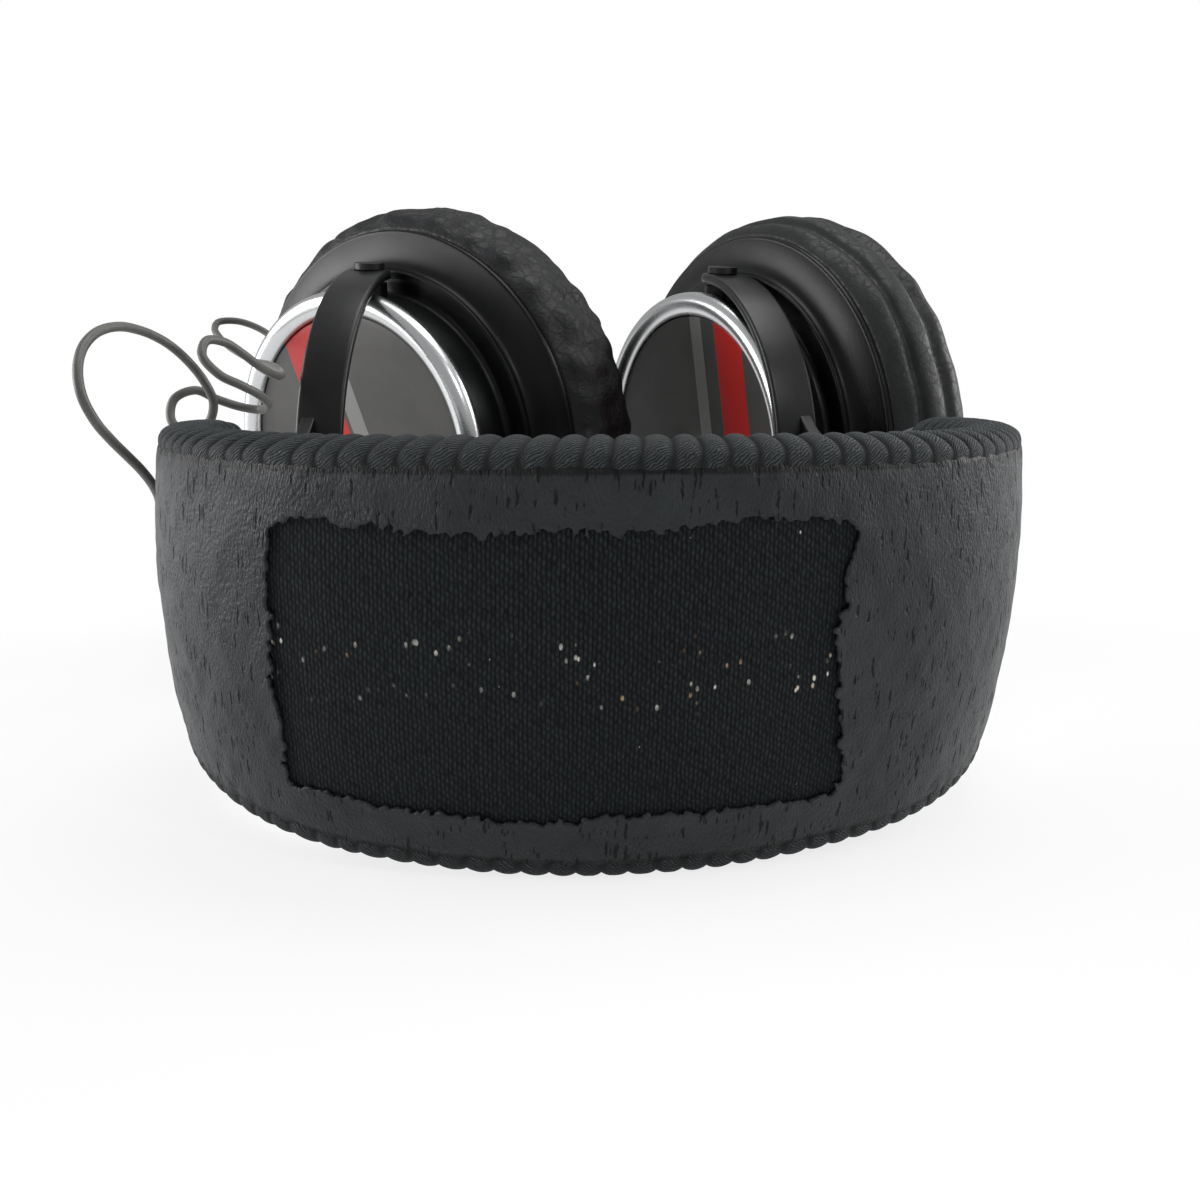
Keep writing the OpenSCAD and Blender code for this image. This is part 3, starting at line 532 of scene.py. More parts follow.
# ear pads: stuffed rings with a lip drawn over the flange
pads = {
    "outR": 43.9, "holeR": 23, "middle": -18.72, "front": 8.58, "back": 11.12, "lipR": 40.35, "power": 2.6,
    "deep": 15.6, "heart": -17.72, "tuck": 1.2, "trace": 4000, "round": 144, "steps": 300,
    # where the cover may move: from how far past the lip and the flange, and over what length
    "lipFree": (0.1, 1.5), "frontFree": (1, 3),
    # size, seed and count of the waves whose crossings are the creases
    "creases": (3.2, 52, 40), "creaseWide": 0.35, "wander": (0.35, 26, 53), "foldFade": 4,
    # height, size and seed of the lumps; place, depth and width of the folds
    "left": {"lumps": (0.24, 6, 51), "crackle": 0.12, "folds": ()},
    "right": {"lumps": (0.14, 11, 51), "crackle": 0.04,
              "folds": ((0.12, 1.0, 0.95), (0.52, 1.05, 1.05), (0.8, 0.3, 0.8))},
}


def makeEarPad(cup):
    p = pads
    look = p[cup]
    halfR = (p["outR"] - p["holeR"]) / 2
    midR = (p["outR"] + p["holeR"]) / 2
    power = 2 / p["power"]
    t = wholeTurn(p["trace"])
    radius = midR + halfR * squarish(np.cos(t), power)
    height = p["middle"] + np.where(np.sin(t) > 0, p["back"], p["front"]) * squarish(np.sin(t), power)
    # the outside from the lip round the front to the hole, then back along the baffle
    outside = (height < padSeat) | (radius > p["lipR"])
    start = int(np.argmax(~outside))
    order = np.roll(np.arange(t.size), -start)
    order = order[outside[order]][::-1]
    line = np.stack([radius[order], height[order]], -1)
    back = [[p["lipR"], line[-1, 1]], [p["lipR"], padSeat], [p["holeR"] + p["tuck"], padSeat]]
    line = np.vstack([line, back])
    walk = np.concatenate([[0], np.cumsum(np.linalg.norm(np.diff(line, axis=0), axis=1))])
    even = np.linspace(0, walk[-1], p["round"])
    turn = wholeTurn(p["steps"])[:, None]
    r = np.interp(even, walk, line[:, 0]) + 0 * turn
    a = np.interp(even, walk, line[:, 1]) + 0 * turn
    # how far each point may swell: none where the pad meets the cup
    free = np.clip((r - p["lipR"] - p["lipFree"][0]) / p["lipFree"][1], 0, 1)
    free = free + np.clip((padSeat - p["frontFree"][0] - a) / p["frontFree"][1], 0, 1)
    free = np.clip(free, 0, 1)
    x, y = r * np.cos(turn), r * np.sin(turn)
    lump, size, seed = look["lumps"]
    swell = lump * uneven(x, y, a, size, seed)
    creases = np.abs(uneven(x, y, 2 * a, *p["creases"]))
    swell = swell - look["crackle"] * np.exp(-(creases / p["creaseWide"]) ** 2)
    wander = wavy(x, y, p["wander"])
    outer = np.clip((r - midR) / p["foldFade"], 0, 1)
    for share, depth, wide in look["folds"]:
        at = padSeat - share * p["deep"] + wander
        swell = swell - depth * outer * np.exp(-((a - at) / wide) ** 2)
    # away from the heart of the stuffing
    wayR, wayA = r - midR, a - p["heart"]
    far = np.maximum(np.hypot(wayR, wayA), 1e-6)
    r = r + free * swell * wayR / far
    a = a + free * swell * wayA / far
    points = aboveTable(cupPoint(cup, a, r, turn))
    piece = tidySolid(gridPiece("visual_" + cup + "_ear_pad", points, True, True))
    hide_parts(cup + "_ear_pad")
    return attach(piece, cup + "_cup")


driverCloth = {"radius": 21, "rings": 14, "thick": 0.45, "dome": 0.12}


def makeDriverCloth(cup):
    d = driverCloth
    radius = d["radius"]
    axis = cupSizes["axis"]
    outline = []
    for share in np.linspace(0, 1, d["rings"] + 1):
        dome = d["dome"] * math.cos(share * math.pi / 2)
        outline.append([max(radius * share, axis), padSeat - d["thick"] - dome])
    outline += [[radius, padSeat], [axis, padSeat]]
    piece = turnedPiece("visual_" + cup + "_driver_cloth", cup, outline, steps=96)
    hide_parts(cup + "_driver_cloth")
    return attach(piece, cup + "_cup")


acousticRing = {"innerR": 21.1, "outerR": 22.7, "deep": 2.2, "round": 0.5}


def makeAcousticRing(cup):
    inner, outer = acousticRing["innerR"], acousticRing["outerR"]
    low = padSeat - acousticRing["deep"]
    outline = rounded([[inner, padSeat], [outer, padSeat], [outer, low], [inner, low]], acousticRing["round"])
    piece = turnedPiece("visual_" + cup + "_acoustic_ring", cup, outline, steps=128)
    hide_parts(cup + "_acoustic_ring")
    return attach(piece, cup + "_cup")


cupPieces = {}
for cup in cups:
    cupPieces[cup] = {"housing": makeHousing(cup), "ring": makeRing(cup), "plate": makePlate(cup),
                      "pad": makeEarPad(cup), "cloth": makeDriverCloth(cup), "foam": makeAcousticRing(cup)}
print("cups dressed")

# hangers: a strip bent round the neck, flaring into the stem that takes the slider bar
hanger = {"inner": 31.6, "thick": 1.8, "wide": 8, "round": 0.75, "steps": 120, "pastPivot": 0.1,
          "tip": 0.115, "tipLeast": 0.02, "stemY": -49.5, "stemHalf": 7, "flareHalf": 22.75,
          "flareEnd": 0.7, "flarePower": 3, "flareSteps": 40, "arcSteps": 24, "plateX": 0.65, "plateT": 2.2,
          "edge": 0.5, "edgeSteps": 3, "sharp": 40}


def makeHanger(cup):
    h = hanger
    side = cups[cup]["side"]
    # strip, rounded along its edges and at its tips
    outer = h["inner"] + h["thick"]
    half = h["wide"] / 2
    corners = [[h["inner"], -half], [outer, -half], [outer, half], [h["inner"], half]]
    section = rounded(corners, h["round"], steps=4)
    reach = math.pi / 2 + h["pastPivot"]
    turn = np.linspace(-reach, reach, h["steps"])[:, None]
    tip = np.clip((math.pi / 2 + h["tip"] - np.abs(turn)) / h["tip"], h["tipLeast"], 1)
    wide = np.sqrt(1 - (1 - tip) ** 2)
    along = -section[None, :, 0] * np.cos(turn)
    up = section[None, :, 0] * np.sin(turn)
    out = section[None, :, 1] * wide
    strip = tidySolid(gridPiece("visual_" + cup + "_hanger", armPoint(side, out, along, up), False, True))
    # stem plate, ending inside the strip
    middle = h["inner"] + h["thick"] / 2
    edge = []
    for t in np.linspace(0, 1, h["flareSteps"]):
        y = h["stemY"] + t * (-h["flareEnd"] * h["inner"] - h["stemY"])
        half = h["stemHalf"] + (h["flareHalf"] - h["stemHalf"]) * t ** h["flarePower"]
        if math.hypot(y, half) > middle:
            edge.append([y, half])
    last = math.atan2(edge[-1][1], -edge[-1][0])
    arc = [[-middle * math.cos(k), middle * math.sin(k)] for k in np.linspace(last, -last, h["arcSteps"])]
    outline = np.array(edge + arc + [[y, -z] for y, z in reversed(edge)])
    work = bmesh.new()
    ring = [work.verts.new(armPoint(side, h["plateX"], y, z)) for y, z in outline]
    lid = work.faces.new(ring)
    raised = bmesh.ops.extrude_face_region(work, geom=[lid])
    lift = armPoint(side, h["plateT"], 0, 0) - armPoint(side, 0, 0, 0)
    for v in raised["geom"]:
        if isinstance(v, bmesh.types.BMVert):
            v.co += Vector(lift)
    bmesh.ops.recalc_face_normals(work, faces=work.faces)
    mesh = bpy.data.meshes.new("stem")
    work.to_mesh(mesh)
    work.free()
    stem = addObject("visual_" + cup + "_hanger_stem", mesh)
    soften = stem.modifiers.new("edges", "BEVEL")
    soften.width = h["edge"] / 1000
    soften.segments = h["edgeSteps"]
    soften.limit_method = "ANGLE"
    mesh.shade_smooth()
    mesh.set_sharp_from_angle(angle=math.radians(h["sharp"]))
    for piece in (strip, stem):
        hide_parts(cup + "_hanger")
        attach(piece, cup + "_slider")
    return [strip, stem]


# end caps: mouldings that taper from the band to the mouth of the slider
endCap = {
    "start": 90.3, "end": 106, "steps": 28, "round": 64, "power": 4.2, "ease": 0.45,
    # share of the length and inset of the rings at the band, the plain run, and the rings at the mouth
    "first": [(0, 0.7), (0.004, 0.2)], "run": (0.02, 0.965),
    "last": [(0.985, 0.12), (1, 0.55), (1, 1.5), (0.93, 1.7)],
    # depth of the middle, half depth and half width at the band, and what each gains towards the mouth
    "middle": (4.6, 0.4), "halfDeep": (3.2, -0.2), "halfWide": (17, -7),
}


def makeEndCap(cup):
    e = endCap
    side = cups[cup]["side"]
    turn = wholeTurn(e["round"])[None, :]
    run = [(share, 0) for share in np.linspace(*e["run"], e["steps"])]
    share, inset = np.array(e["first"] + run + e["last"]).T[..., None]
    ease = (1 - e["ease"]) * share + e["ease"] * share * share * (3 - 2 * share)
    y = e["start"] + share * (e["end"] - e["start"]) - arms["pivotReach"]
    middle = e["middle"][0] + e["middle"][1] * ease
    halfDeep = e["halfDeep"][0] + e["halfDeep"][1] * ease - inset
    halfWide = e["halfWide"][0] + e["halfWide"][1] * ease - inset
    deep = squarish(np.cos(turn), 2 / e["power"])
    wide = squarish(np.sin(turn), 2 / e["power"])
    points = armPoint(side, arms["barDepth"] - middle - halfDeep * deep, y + 0 * deep, halfWide * wide)
    piece = tidySolid(gridPiece("visual_" + cup + "_end_cap", points, False, True))
    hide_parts(cup + "_end_cap")
    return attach(piece, "headband")


hangers = {cup: makeHanger(cup) for cup in cups}
endCaps = {cup: makeEndCap(cup) for cup in cups}
print("hangers and end caps made")


def arithmetic(operation, swapped=False):
    def run(self, other):
        return self.math(operation, *((other, self) if swapped else (self, other)))
    return run


# a shader socket that takes Python arithmetic
class Wire:
    __add__ = arithmetic("ADD")
    __radd__ = arithmetic("ADD", True)
    __sub__ = arithmetic("SUBTRACT")
    __rsub__ = arithmetic("SUBTRACT", True)
    __mul__ = arithmetic("MULTIPLY")
    __rmul__ = arithmetic("MULTIPLY", True)
    __truediv__ = arithmetic("DIVIDE")
    __pow__ = arithmetic("POWER")
    __gt__ = arithmetic("GREATER_THAN")
    __lt__ = arithmetic("LESS_THAN")

    def __init__(self, tree, socket=None):
        self.tree = tree
        self.socket = socket

    def node(self, kind, inputs, output=0, **settings):
        made = self.tree.nodes.new("ShaderNode" + kind)
        for name, value in settings.items():
            setattr(made, name, value)
        for name, value in inputs.items():
            if isinstance(value, Wire):
                self.tree.links.new(value.socket, made.inputs[name])
            else:
                made.inputs[name].default_value = value
        return Wire(self.tree, made.outputs[output])

    def math(self, operation, *values):
        return self.node("Math", dict(enumerate(values)), operation=operation)

    # 0 below low, 1 above high, smooth between
    def between(self, low, high):
        inputs = {"Value": self, "From Min": low, "From Max": high}
        return self.node("MapRange", inputs, interpolation_type="SMOOTHSTEP")

    # spread to both sides of zero, from a value about a half
    def swing(self, size):
        return (self - 0.5) * size

    # another output of the node that this socket is on
    def beside(self, output):
        return Wire(self.tree, self.socket.node.outputs[output])

    def output(self, kind):
        out = self.tree.nodes.new("ShaderNodeOutput" + kind)
        self.tree.links.new(self.socket, out.inputs["Surface"])

    # colours are sockets or screen colours
    def mix(self, mask, *colours):
        first, second = [tone(c) if isinstance(c, str) else c for c in colours]
        return self.node("Mix", {0: mask, 6: first, 7: second}, 2, data_type="RGBA")

    def vector(self, operation, first, second, output=0):
        return self.node("VectorMath", {0: first, 1: second}, output, operation=operation)

    def scaled(self, vector, way):
        return self.vector("MULTIPLY", vector, way)

    def split(self, vector):
        first = self.node("SeparateXYZ", {"Vector": vector})
        return first, first.beside("Y"), first.beside("Z")

    # rounded ridges side by side, one for each half turn
    def ridges(self, angle):
        return self.math("ABSOLUTE", self.math("SINE", angle))

    def noise(self, vector, scale, detail=3, rough=0.55):
        inputs = {"Vector": vector, "Scale": scale, "Detail": detail, "Roughness": rough}
        return self.node("TexNoise", inputs, "Fac")

    def cells(self, vector, scale, feature="F1", output="Distance", space="3D"):
        return self.node("TexVoronoi", {"Vector": vector, "Scale": scale}, output,
                         feature=feature, voronoi_dimensions=space)

    def bump(self, height, millimetres):
        inputs = {"Height": height, "Distance": millimetres / 1000, "Strength": 1}
        return self.node("Bump", inputs, "Normal")


# a screen colour as the light it stands for
def tone(text):
    parts = [int(text[i:i + 2], 16) / 255 for i in (1, 3, 5)]
    return tuple(p / 12.92 if p < 0.04045 else ((p + 0.055) / 1.055) ** 2.4 for p in parts) + (1,)


# a finish, its wires, and places on the piece in millimetres, from its own frame or its flat map
def newFinish(name, flat=False):
    finish = bpy.data.materials.new(name)
    finish.use_nodes = True
    finish.node_tree.nodes.clear()
    wire = Wire(finish.node_tree)
    if flat:
        return finish, wire, wire.node("UVMap", {}, "UV", uv_map="flat")
    return finish, wire, wire.scaled(wire.node("TexCoord", {}, "Object"), (1000, 1000, 1000))


# a principled shader with a bumped surface
def close(finish, wire, colour, rough, bump, shine=0.5, metallic=0):
    sockets = {"Base Color": colour, "Roughness": rough, "Normal": wire.bump(*bump),
               "Specular IOR Level": shine, "Metallic": metallic}
    wire.node("BsdfPrincipled", sockets, "BSDF").output("Material")
    return finish


# leatherette of the band: pebble grain, short wrinkles on a slant, fine slits across the band, wear
leatherette = {
    "colour": "#202427", "worn": "#2b2f32", "crack": "#020303", "rough": 0.4, "shine": 0.24, "bump": 0.17,
    "pebble": 2.5, "wrinkleTurn": 0.65, "wrinkle": (3.8, 1.4, 1), "patches": 0.07, "wornFrom": (0.35, 0.7),
    # slits and pits: stretch of their cells, width, and the noise at which they show
    "where": (0.16, 0.3, 1),
    "slits": (((0.75, 0.11, 1), 0.15, (0.42, 0.52)), ((1.5, 0.3, 1), 0.18, (0.5, 0.6))),
    "wobble": 0.9, "bend": (0.5, 0.2), "slitDark": 0.9,
    # distances from the seam over which the gathers and the dark line fade
    "gathers": (1.2, 5.5), "seam": (1.0, 1.3),
    # share of each in the height, and what each adds to the roughness
    "pebbleHigh": 0.5, "wrinkleHigh": 1.2, "gatherHigh": 0.9, "slitDeep": 1.6,
    "patchRough": 0.2, "slitRough": 0.3, "wrinkleRough": 0.2,
}


def leatheretteFinish():
    look = leatherette
    finish, wire, flat = newFinish("band_leatherette", True)
    along, across, _ = wire.split(flat)
    taper = (along / band["half"]) ** 2 * ((band["width"] - band["endWidth"]) / 2)
    edge = band["width"] / 2 - band["lacing"] + cover["under"]
    fromSeam = edge - taper - wire.math("ABSOLUTE", across)
    pebble = wire.cells(flat, look["pebble"], "SMOOTH_F1")
    slant = {"Vector": flat, "Rotation": (0, 0, look["wrinkleTurn"]), "Scale": look["wrinkle"]}
    wrinkle = wire.noise(wire.node("Mapping", slant), 1, detail=4)
    patches = wire.noise(flat, look["patches"], detail=4)
    wobble = wire.noise(flat, look["wobble"])
    bendX, bendY = look["bend"]
    bent = wire.node("CombineXYZ", {"X": wobble * bendX, "Y": wobble * bendY})
    where = wire.noise(wire.scaled(flat, look["where"]), 1)
    slits = []
    for stretch, wide, shown in look["slits"]:
        drawn = wire.vector("ADD", wire.scaled(flat, stretch), bent)
        slit = 1 - wire.cells(drawn, 1, space="2D").between(wide / 2, wide)
        slits.append(slit * where.between(*shown))
    damage = wire.math("MAXIMUM", *slits)
    gathered = 1 - fromSeam.between(*look["gathers"])
    seam = 1 - fromSeam.between(*look["seam"])
    colour = wire.mix(patches.between(*look["wornFrom"]), look["colour"], look["worn"])
    colour = wire.mix(wire.math("MAXIMUM", damage * look["slitDark"], seam), colour, look["crack"])
    height = (1 - pebble) * look["pebbleHigh"]
    height = height + wrinkle * (look["wrinkleHigh"] + gathered * look["gatherHigh"])
    height = height - damage * look["slitDeep"]
    rough = look["rough"] + patches.swing(look["patchRough"]) + damage * look["slitRough"]
    rough = rough + wrinkle.swing(look["wrinkleRough"])
    return close(finish, wire, colour, rough, (height, look["bump"]), look["shine"])


# black knit: wales across the band, their crests painted lighter as highlights, with pale flecks of backing
# left along the middle
knitLook = {
    # black of the knit, and the painted highlight on the crests of its yarn
    "colour": "#07090a", "light": "#2f3437", "rough": 0.92, "shine": 0.18, "bump": 0.12,
    # spacing of the wales and their loops, step of the loops from wale to wale, their dimming and sway
    "wale": 0.48, "course": 0.95, "loopStep": 2.4, "loopDim": 0.3,
    "sway": 0.6, "waleSway": 0.5, "loopSway": 6, "dash": (2.3, 0.75, 1), "dashFrom": (0.15, 0.65),
    # flecks: colours, stretch and scale of their cells, the line they follow and how far they stray
    "fleckA": "#e6e2d8", "fleckB": "#b9946a", "hueFrom": (0.55, 0.85),
    "stretch": (1.25, 0.72, 1), "cells": 0.85, "line": 0.6, "stray": (2.6, 5.4),
    "cluster": (0.16, 0.22, 1), "clusterFrom": (0.44, 0.66),
    # size of a fleck and of a lone one, and the draw above or below which a cell has it
    "fleck": (0.14, 0.26), "fleckAbove": 0.42, "ragged": 0.22, "fleckHigh": 0.6,
    "lone": (0.04, 0.12), "loneBelow": 0.03, "lonePale": 0.8,
}


def knitFinish():
    look = knitLook
    finish, wire, flat = newFinish("knit", True)
    x, y, _ = wire.split(flat)
    sway = wire.noise(flat, look["sway"], detail=2)
    wale = (x + sway.swing(look["waleSway"])) * (math.pi / look["wale"])
    row = wire.math("FLOOR", wale / math.pi)
    turn = y * (2 * math.pi / look["course"]) + row * look["loopStep"] + sway.swing(look["loopSway"])
    loops = 1 - look["loopDim"] + wire.math("SINE", turn) * look["loopDim"]
    dash = wire.noise(wire.scaled(flat, look["dash"]), 1)
    # ridges of the yarn, which also carry the painted highlight
    litYarnRidges = wire.ridges(wale) * loops * dash.between(*look["dashFrom"])
    drawn = wire.scaled(flat, look["stretch"])
    spots = wire.cells(drawn, look["cells"]) + dash.swing(look["ragged"])
    draw, hue, _ = wire.split(wire.cells(drawn, look["cells"], output="Color"))
    middle = 1 - wire.math("ABSOLUTE", y - look["line"]).between(*look["stray"])
    cluster = wire.noise(wire.scaled(flat, look["cluster"]), 1, detail=2).between(*look["clusterFrom"])
    flecks = (1 - spots.between(*look["fleck"])) * (draw > look["fleckAbove"]) * middle * cluster
    lone = (1 - spots.between(*look["lone"])) * (draw < look["loneBelow"])
    pale = wire.math("MAXIMUM", flecks, lone * look["lonePale"])
    # painted highlight along the yarn crests
    colour = wire.mix(litYarnRidges, look["colour"], look["light"])
    fleck = wire.mix(hue.between(*look["hueFrom"]), look["fleckA"], look["fleckB"])
    colour = wire.mix(pale, colour, fleck)
    bump = (litYarnRidges + pale * look["fleckHigh"], look["bump"])
    return close(finish, wire, colour, look["rough"], bump, look["shine"])


# lacing: fine thread wound on a slant, its crests painted lighter as highlights, with painted shade where
# each stitch draws in and in the notch below it
lacingLook = {
    # colours of the thread: in painted shade, and with its painted highlight
    "dark": "#060708", "light": "#454b4e", "rough": 0.7, "shine": 0.3, "bump": 0.3,
    # spacing and direction of the threads, how they wander, and their least brightness and its spread
    "thread": 0.34, "way": (0.62, 0.78), "wander": 0.9, "wanderReach": 0.9,
    "patches": 1.8, "least": 0.35, "spread": 1.1,
    # where along a stitch it is lit, with painted shade towards each draw-in, and how far up and along the
    # painted shade of the notch beside it reaches
    "stitchFrom": (0, 0.75), "notchShadeUp": (0.3, 1.7), "notchShadeAlong": (0.15, 0.85),
}


def lacingFinish():
    look = lacingLook
    finish, wire, flat = newFinish("lacing_thread", True)
    x, y, _ = wire.split(flat)
    wander = wire.noise(flat, look["wander"]).swing(look["wanderReach"])
    slanted = x * look["way"][0] - y * look["way"][1] + wander
    lines = wire.ridges(slanted * (math.pi / look["thread"]))
    thread = lines * (look["least"] + wire.noise(flat, look["patches"], detail=2) * look["spread"])
    stitch = wire.ridges(x * (math.pi / pitch))
    # painted shade in the notch low beside each stitch
    notchShade = (1 - y.between(*look["notchShadeUp"])) * (1 - stitch.between(*look["notchShadeAlong"]))
    # painted highlights on the thread crests, with painted shade at each draw-in and in its notch
    lit = thread * stitch.between(*look["stitchFrom"]) * (1 - notchShade)
    colour = wire.mix(lit, look["dark"], look["light"])
    return close(finish, wire, colour, look["rough"], (lit, look["bump"]), look["shine"])


# ear pads: one crackled, one smooth and folded
padLooks = {
    "left": {"colour": "#05070b", "crack": "#020305", "rough": 0.5, "crackle": 0.1, "bump": 0.12},
    "right": {"colour": "#0f1113", "crack": "#08090b", "rough": 0.5, "crackle": 0.06, "bump": 0.06},
    # of both: fineness of creases, grain and finest texture, and the noise at which creases darken
    "creases": 0.42, "creaseWide": 0.16, "grain": 2.2, "fine": 1.4, "patches": 0.35, "darkFrom": (0.35, 0.6),
    "fineHigh": 0.7, "grainDeep": 0.5, "creaseDeep": 2.4, "fineRough": 0.3, "creaseRough": 0.15,
    "shine": 0.36,
}


def padFinish(cup):
    look = padLooks
    own = padLooks[cup]
    finish, wire, places = newFinish(cup + "_pad_leather")
    creases = 1 - wire.cells(places, look["creases"], "DISTANCE_TO_EDGE").between(0, look["creaseWide"])
    grain = wire.cells(places, look["grain"], "SMOOTH_F1")
    fine = wire.noise(places, look["fine"], detail=4)
    crackle = creases * own["crackle"]
    dark = crackle * wire.noise(places, look["patches"]).between(*look["darkFrom"])
    colour = wire.mix(dark, own["colour"], own["crack"])
    height = fine * look["fineHigh"] - grain * look["grainDeep"] - crackle * look["creaseDeep"]
    rough = own["rough"] + fine.swing(look["fineRough"]) + creases * look["creaseRough"]
    return close(finish, wire, colour, rough, (height, own["bump"]), look["shine"])


# moulded and painted pieces: two colours that mingle, roughness, shine, height and fineness of the texture
plainLooks = {
    "housing": ("#070809", "#0b0c0d", 0.32, 0.2, 0.024, 6),
    "endCap": ("#5c5e5f", "#4c4e4f", 0.38, 0.34, 0.04, 4),
    "hanger": ("#0c0d0f", "#121315", 0.33, 0.34, 0.03, 5),
    "rubber": ("#141516", "#1b1c1d", 0.6, 0.34, 0.04, 3),
    "lead": ("#5a5a57", "#666663", 0.42, 0.34, 0.02, 3),
    "foam": ("#2b2c2b", "#1b1c1b", 0.95, 0.34, 0.3, 2.2),
    "film": ("#858c92", "#767d83", 0.25, 0.34, 0.01, 2),
}
# clouds over all of them, the noise over which the colours mingle, and what adds to the roughness
plainWear = {"cloud": 0.12, "mingle": (0.3, 0.7), "cloudRough": 0.16, "fineRough": 0.14}


def plainFinish(name):
    first, second, rough, shine, bump, fineness = plainLooks[name]
    wear = plainWear
    finish, wire, places = newFinish(name + "_finish")
    cloud = wire.noise(places, wear["cloud"], detail=4)
    fine = wire.noise(places, fineness, detail=4)
    colour = wire.mix(cloud.between(*wear["mingle"]), first, second)
    rough = rough + cloud.swing(wear["cloudRough"]) + fine.swing(wear["fineRough"])
    return close(finish, wire, colour, rough, (fine, bump), shine)


# bare metal, smeared and finely scratched
metalLooks = {
    "chrome": {"colour": "#d9dbdc", "rough": 0.26, "scratch": 0.06},
    "steel": {"colour": "#a9acae", "rough": 0.3, "scratch": 0.3},
    "spring": {"colour": "#9b9fa2", "rough": 0.28, "scratch": 0.3},
}
metalWear = {"dull": 0.88, "smear": 0.2, "smearRough": 0.1, "lines": (6, 0.4, 6), "lineFine": 1.4,
             "bump": 0.003}


def metalFinish(name):
    look = metalLooks[name]
    wear = metalWear
    finish, wire, places = newFinish(name + "_finish")
    smear = wire.noise(places, wear["smear"])
    lines = wire.noise(wire.scaled(places, wear["lines"]), wear["lineFine"])
    bright = tone(look["colour"])
    dull = tuple(wear["dull"] * c for c in bright[:3]) + (1,)
    rough = look["rough"] + smear.swing(wear["smearRough"]) + lines.swing(look["scratch"])
    colour = wire.mix(smear, bright, dull)
    return close(finish, wire, colour, rough, (lines, wear["bump"]), metallic=1)


# cap plates: satin dark grey with a grey stripe and a red one
plateLooks = {
    "colour": "#454442", "shade": "#3c3b3a", "grey": "#7c7c7a", "red": "#b60f08",
    "rough": 0.42, "shine": 0.32, "bump": 0.03, "soft": 0.05, "cloud": 0.1, "mingle": (0.3, 0.7), "fine": 5,
    "fineHigh": 0.3, "paintHigh": 0.6, "fineRough": 0.12, "cloudRough": 0.1,
    # direction across the stripes, then where each begins and ends
    "left": {"way": (0.912, -0.41), "grey": (-4.7, -1.1), "red": (-0.3, 8)},
    "right": {"way": (0.968, 0.252), "grey": (3.9, 7.2), "red": (11.1, 18.7)},
}


def plateFinish(cup):
    look = plateLooks
    at = cups[cup]
    finish, wire, places = newFinish(cup + "_cap_paint")
    centre = armPoint(at["side"], 0, 0, 0) * 1000
    sideways = armPoint(at["side"], 0, 1, 0, at["turn"]) * 1000 - centre
    upwards = armPoint(at["side"], 0, 0, 1, at["turn"]) * 1000 - centre
    way = look[cup]["way"][0] * sideways + look[cup]["way"][1] * upwards
    moved = wire.vector("SUBTRACT", places, tuple(centre))
    across = wire.vector("DOT_PRODUCT", moved, tuple(way), "Value")
    cloud = wire.noise(places, look["cloud"], detail=4)
    fine = wire.noise(places, look["fine"], detail=4)
    colour = wire.mix(cloud.between(*look["mingle"]), look["colour"], look["shade"])
    height = fine * look["fineHigh"]
    soft = look["soft"]
    for name in ("grey", "red"):
        low, high = look[cup][name]
        stripe = across.between(low - soft, low + soft) * (1 - across.between(high - soft, high + soft))
        colour = wire.mix(stripe, colour, look[name])
        height = height + stripe * look["paintHigh"]
    rough = look["rough"] + fine.swing(look["fineRough"]) + cloud.swing(look["cloudRough"])
    return close(finish, wire, colour, rough, (height, look["bump"]), look["shine"])


clothLook = {"dark": "#0c0d0e", "light": "#1d1f21", "rough": 0.9, "bump": 0.08, "warp": 9, "weft": 12,
             "mingle": (-0.4, 0.6)}


def clothFinish():
    look = clothLook
    finish, wire, places = newFinish("driver_cloth_weave")
    x, _, z = wire.split(places)
    weave = wire.math("SINE", z * look["warp"]) * wire.math("SINE", x * look["weft"])
    colour = wire.mix(weave.between(*look["mingle"]), look["dark"], look["light"])
    return close(finish, wire, colour, look["rough"], (weave, look["bump"]))


def dress(finish, *pieces):
    for piece in pieces:
        piece.data.materials.clear()
        piece.data.materials.append(finish)


plain = {name: plainFinish(name) for name in plainLooks}
metal = {name: metalFinish(name) for name in metalLooks}
dress(leatheretteFinish(), outerCover, innerCover)
dress(knitFinish(), knitBacking)
dress(lacingFinish(), upperLacing, lowerLacing)
dress(plain["lead"], leadRun, leadLoops)
cloth = clothFinish()
for cup, made in cupPieces.items():
    dress(plain["housing"], made["housing"])
    dress(metal["chrome"], made["ring"])
    dress(plateFinish(cup), made["plate"])
    dress(padFinish(cup), made["pad"])
    dress(cloth, made["cloth"])
    dress(plain["foam"], made["foam"])
    dress(plain["endCap"], endCaps[cup])
    dress(plain["hanger"], *hangers[cup])

# finishes of the solids that stay as they are
carried = {"slider_bar": metal["steel"], "rivets": metal["steel"], "pins": plain["hanger"],
           "screws": metal["steel"], "detent": metal["spring"], "spring_band": metal["spring"],
           "magnet": metal["steel"], "bushes": plain["housing"], "baffle": plain["housing"],
           "driver_frame": plain["housing"], "diaphragm": plain["film"], "grommet": plain["rubber"],
           "cord_inlet": plain["rubber"]}
for name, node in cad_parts.items():
    if node.hide_render:
        continue
    found = [finish for word, finish in carried.items() if word in name]
    for slot in node.material_slots:
        slot.material = found[0]
    if not node.material_slots:
        node.data.materials.append(found[0])
print("finishes set")

# floor, light and a white surround
stageLook = {"floor": 6, "floorColour": (0.9, 0.9, 0.9, 1), "white": 0.8, "near": 100, "far": 420,
             "worldLight": 0.22, "worldGloss": 0.42}
pureWhite = (1, 1, 1, 1)


def stageRays(wire):
    rays = wire.node("LightPath", {}, "Is Camera Ray")
    seen = wire.math("MAXIMUM", rays, rays.beside("Is Glossy Ray"))
    return wire.math("MAXIMUM", seen, rays.beside("Is Transmission Ray"))


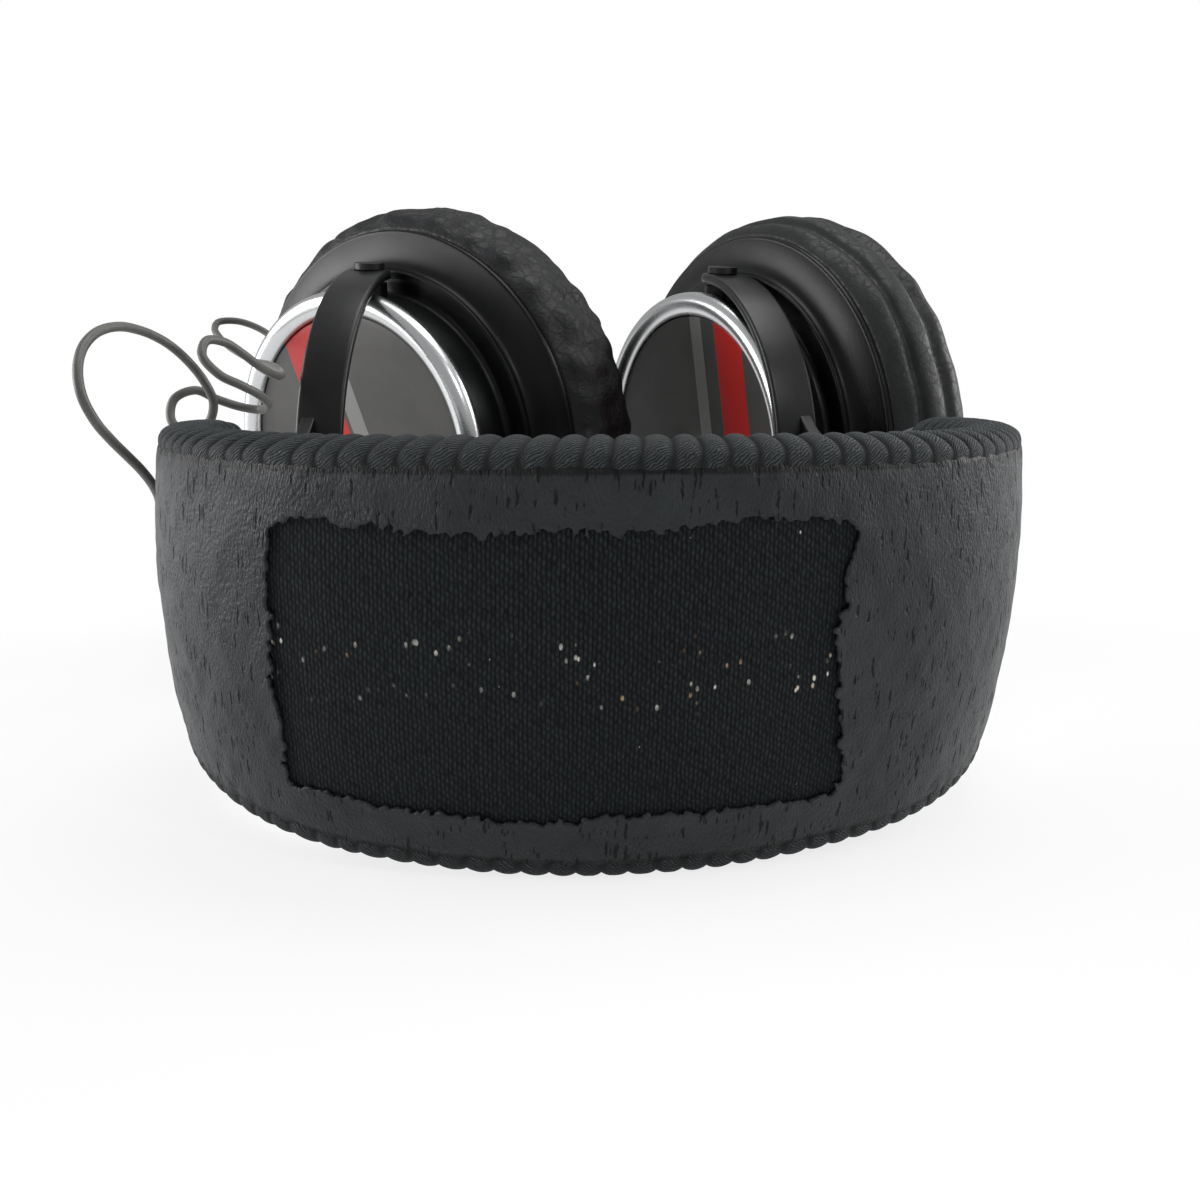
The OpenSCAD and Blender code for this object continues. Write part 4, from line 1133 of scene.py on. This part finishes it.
# white to the camera and to reflections, shaded by what lies on it close by
def makeFloor():
    half = stageLook["floor"]
    mesh = bpy.data.meshes.new("floor")
    corners = [(-half, -half, 0), (half, -half, 0), (half, half, 0), (-half, half, 0)]
    mesh.from_pydata(corners, [], [(0, 1, 2, 3)])
    floor = addObject("floor", mesh)
    finish, wire, places = newFinish("floor_white")
    paint = wire.node("BsdfDiffuse", {"Color": stageLook["floorColour"]}, "BSDF")
    glow = wire.node("Emission", {"Color": pureWhite, "Strength": 1}, "Emission")
    away = wire.node("VectorMath", {0: places}, "Value", operation="LENGTH")
    white = stageLook["white"] + (1 - stageLook["white"]) * away.between(stageLook["near"], stageLook["far"])
    wire.node("MixShader", {0: stageRays(wire) * white, 1: paint, 2: glow}).output("Material")
    dress(finish, floor)


def makeWorld():
    world = bpy.data.worlds.new("surround")
    bpy.context.scene.world = world
    world.use_nodes = True
    world.node_tree.nodes.clear()
    wire = Wire(world.node_tree)
    light, shine, seen = [wire.node("Background", {"Color": pureWhite, "Strength": strength})
                          for strength in (stageLook["worldLight"], stageLook["worldGloss"], 1)]
    rays = wire.node("LightPath", {}, "Is Camera Ray")
    lit = wire.node("MixShader", {0: rays.beside("Is Glossy Ray"), 1: light, 2: shine})
    wire.node("MixShader", {0: rays, 1: lit, 2: seen}).output("World")


# place, aim, size and power
lamps = {
    "overhead": ((0.12, 0.02, 0.75), (0, 0, 0.05), 0.5, 2.8),
    "leftSide": ((-0.75, 0.1, 0.22), (0, 0, 0.04), 0.5, 6),
    "rightSide": ((0.75, 0.1, 0.3), (0, 0, 0.04), 0.5, 4.5),
    "spot": ((0.3, -0.5, 0.5), (0, 0.02, 0.06), 0.08, 0.7),
}


def makeLamp(name, place, aim, size, power):
    data = bpy.data.lights.new(name, "AREA")
    data.energy = power
    data.size = size
    lamp = addObject(name, data)
    lamp.location = place
    lamp.visible_camera = False
    lamp.rotation_euler = (Vector(aim) - Vector(place)).to_track_quat("-Z", "Y").to_euler()


makeFloor()
makeWorld()
for name, lamp in lamps.items():
    makeLamp(name, *lamp)
bpy.context.scene.view_settings.view_transform = "Standard"
print("stage set")
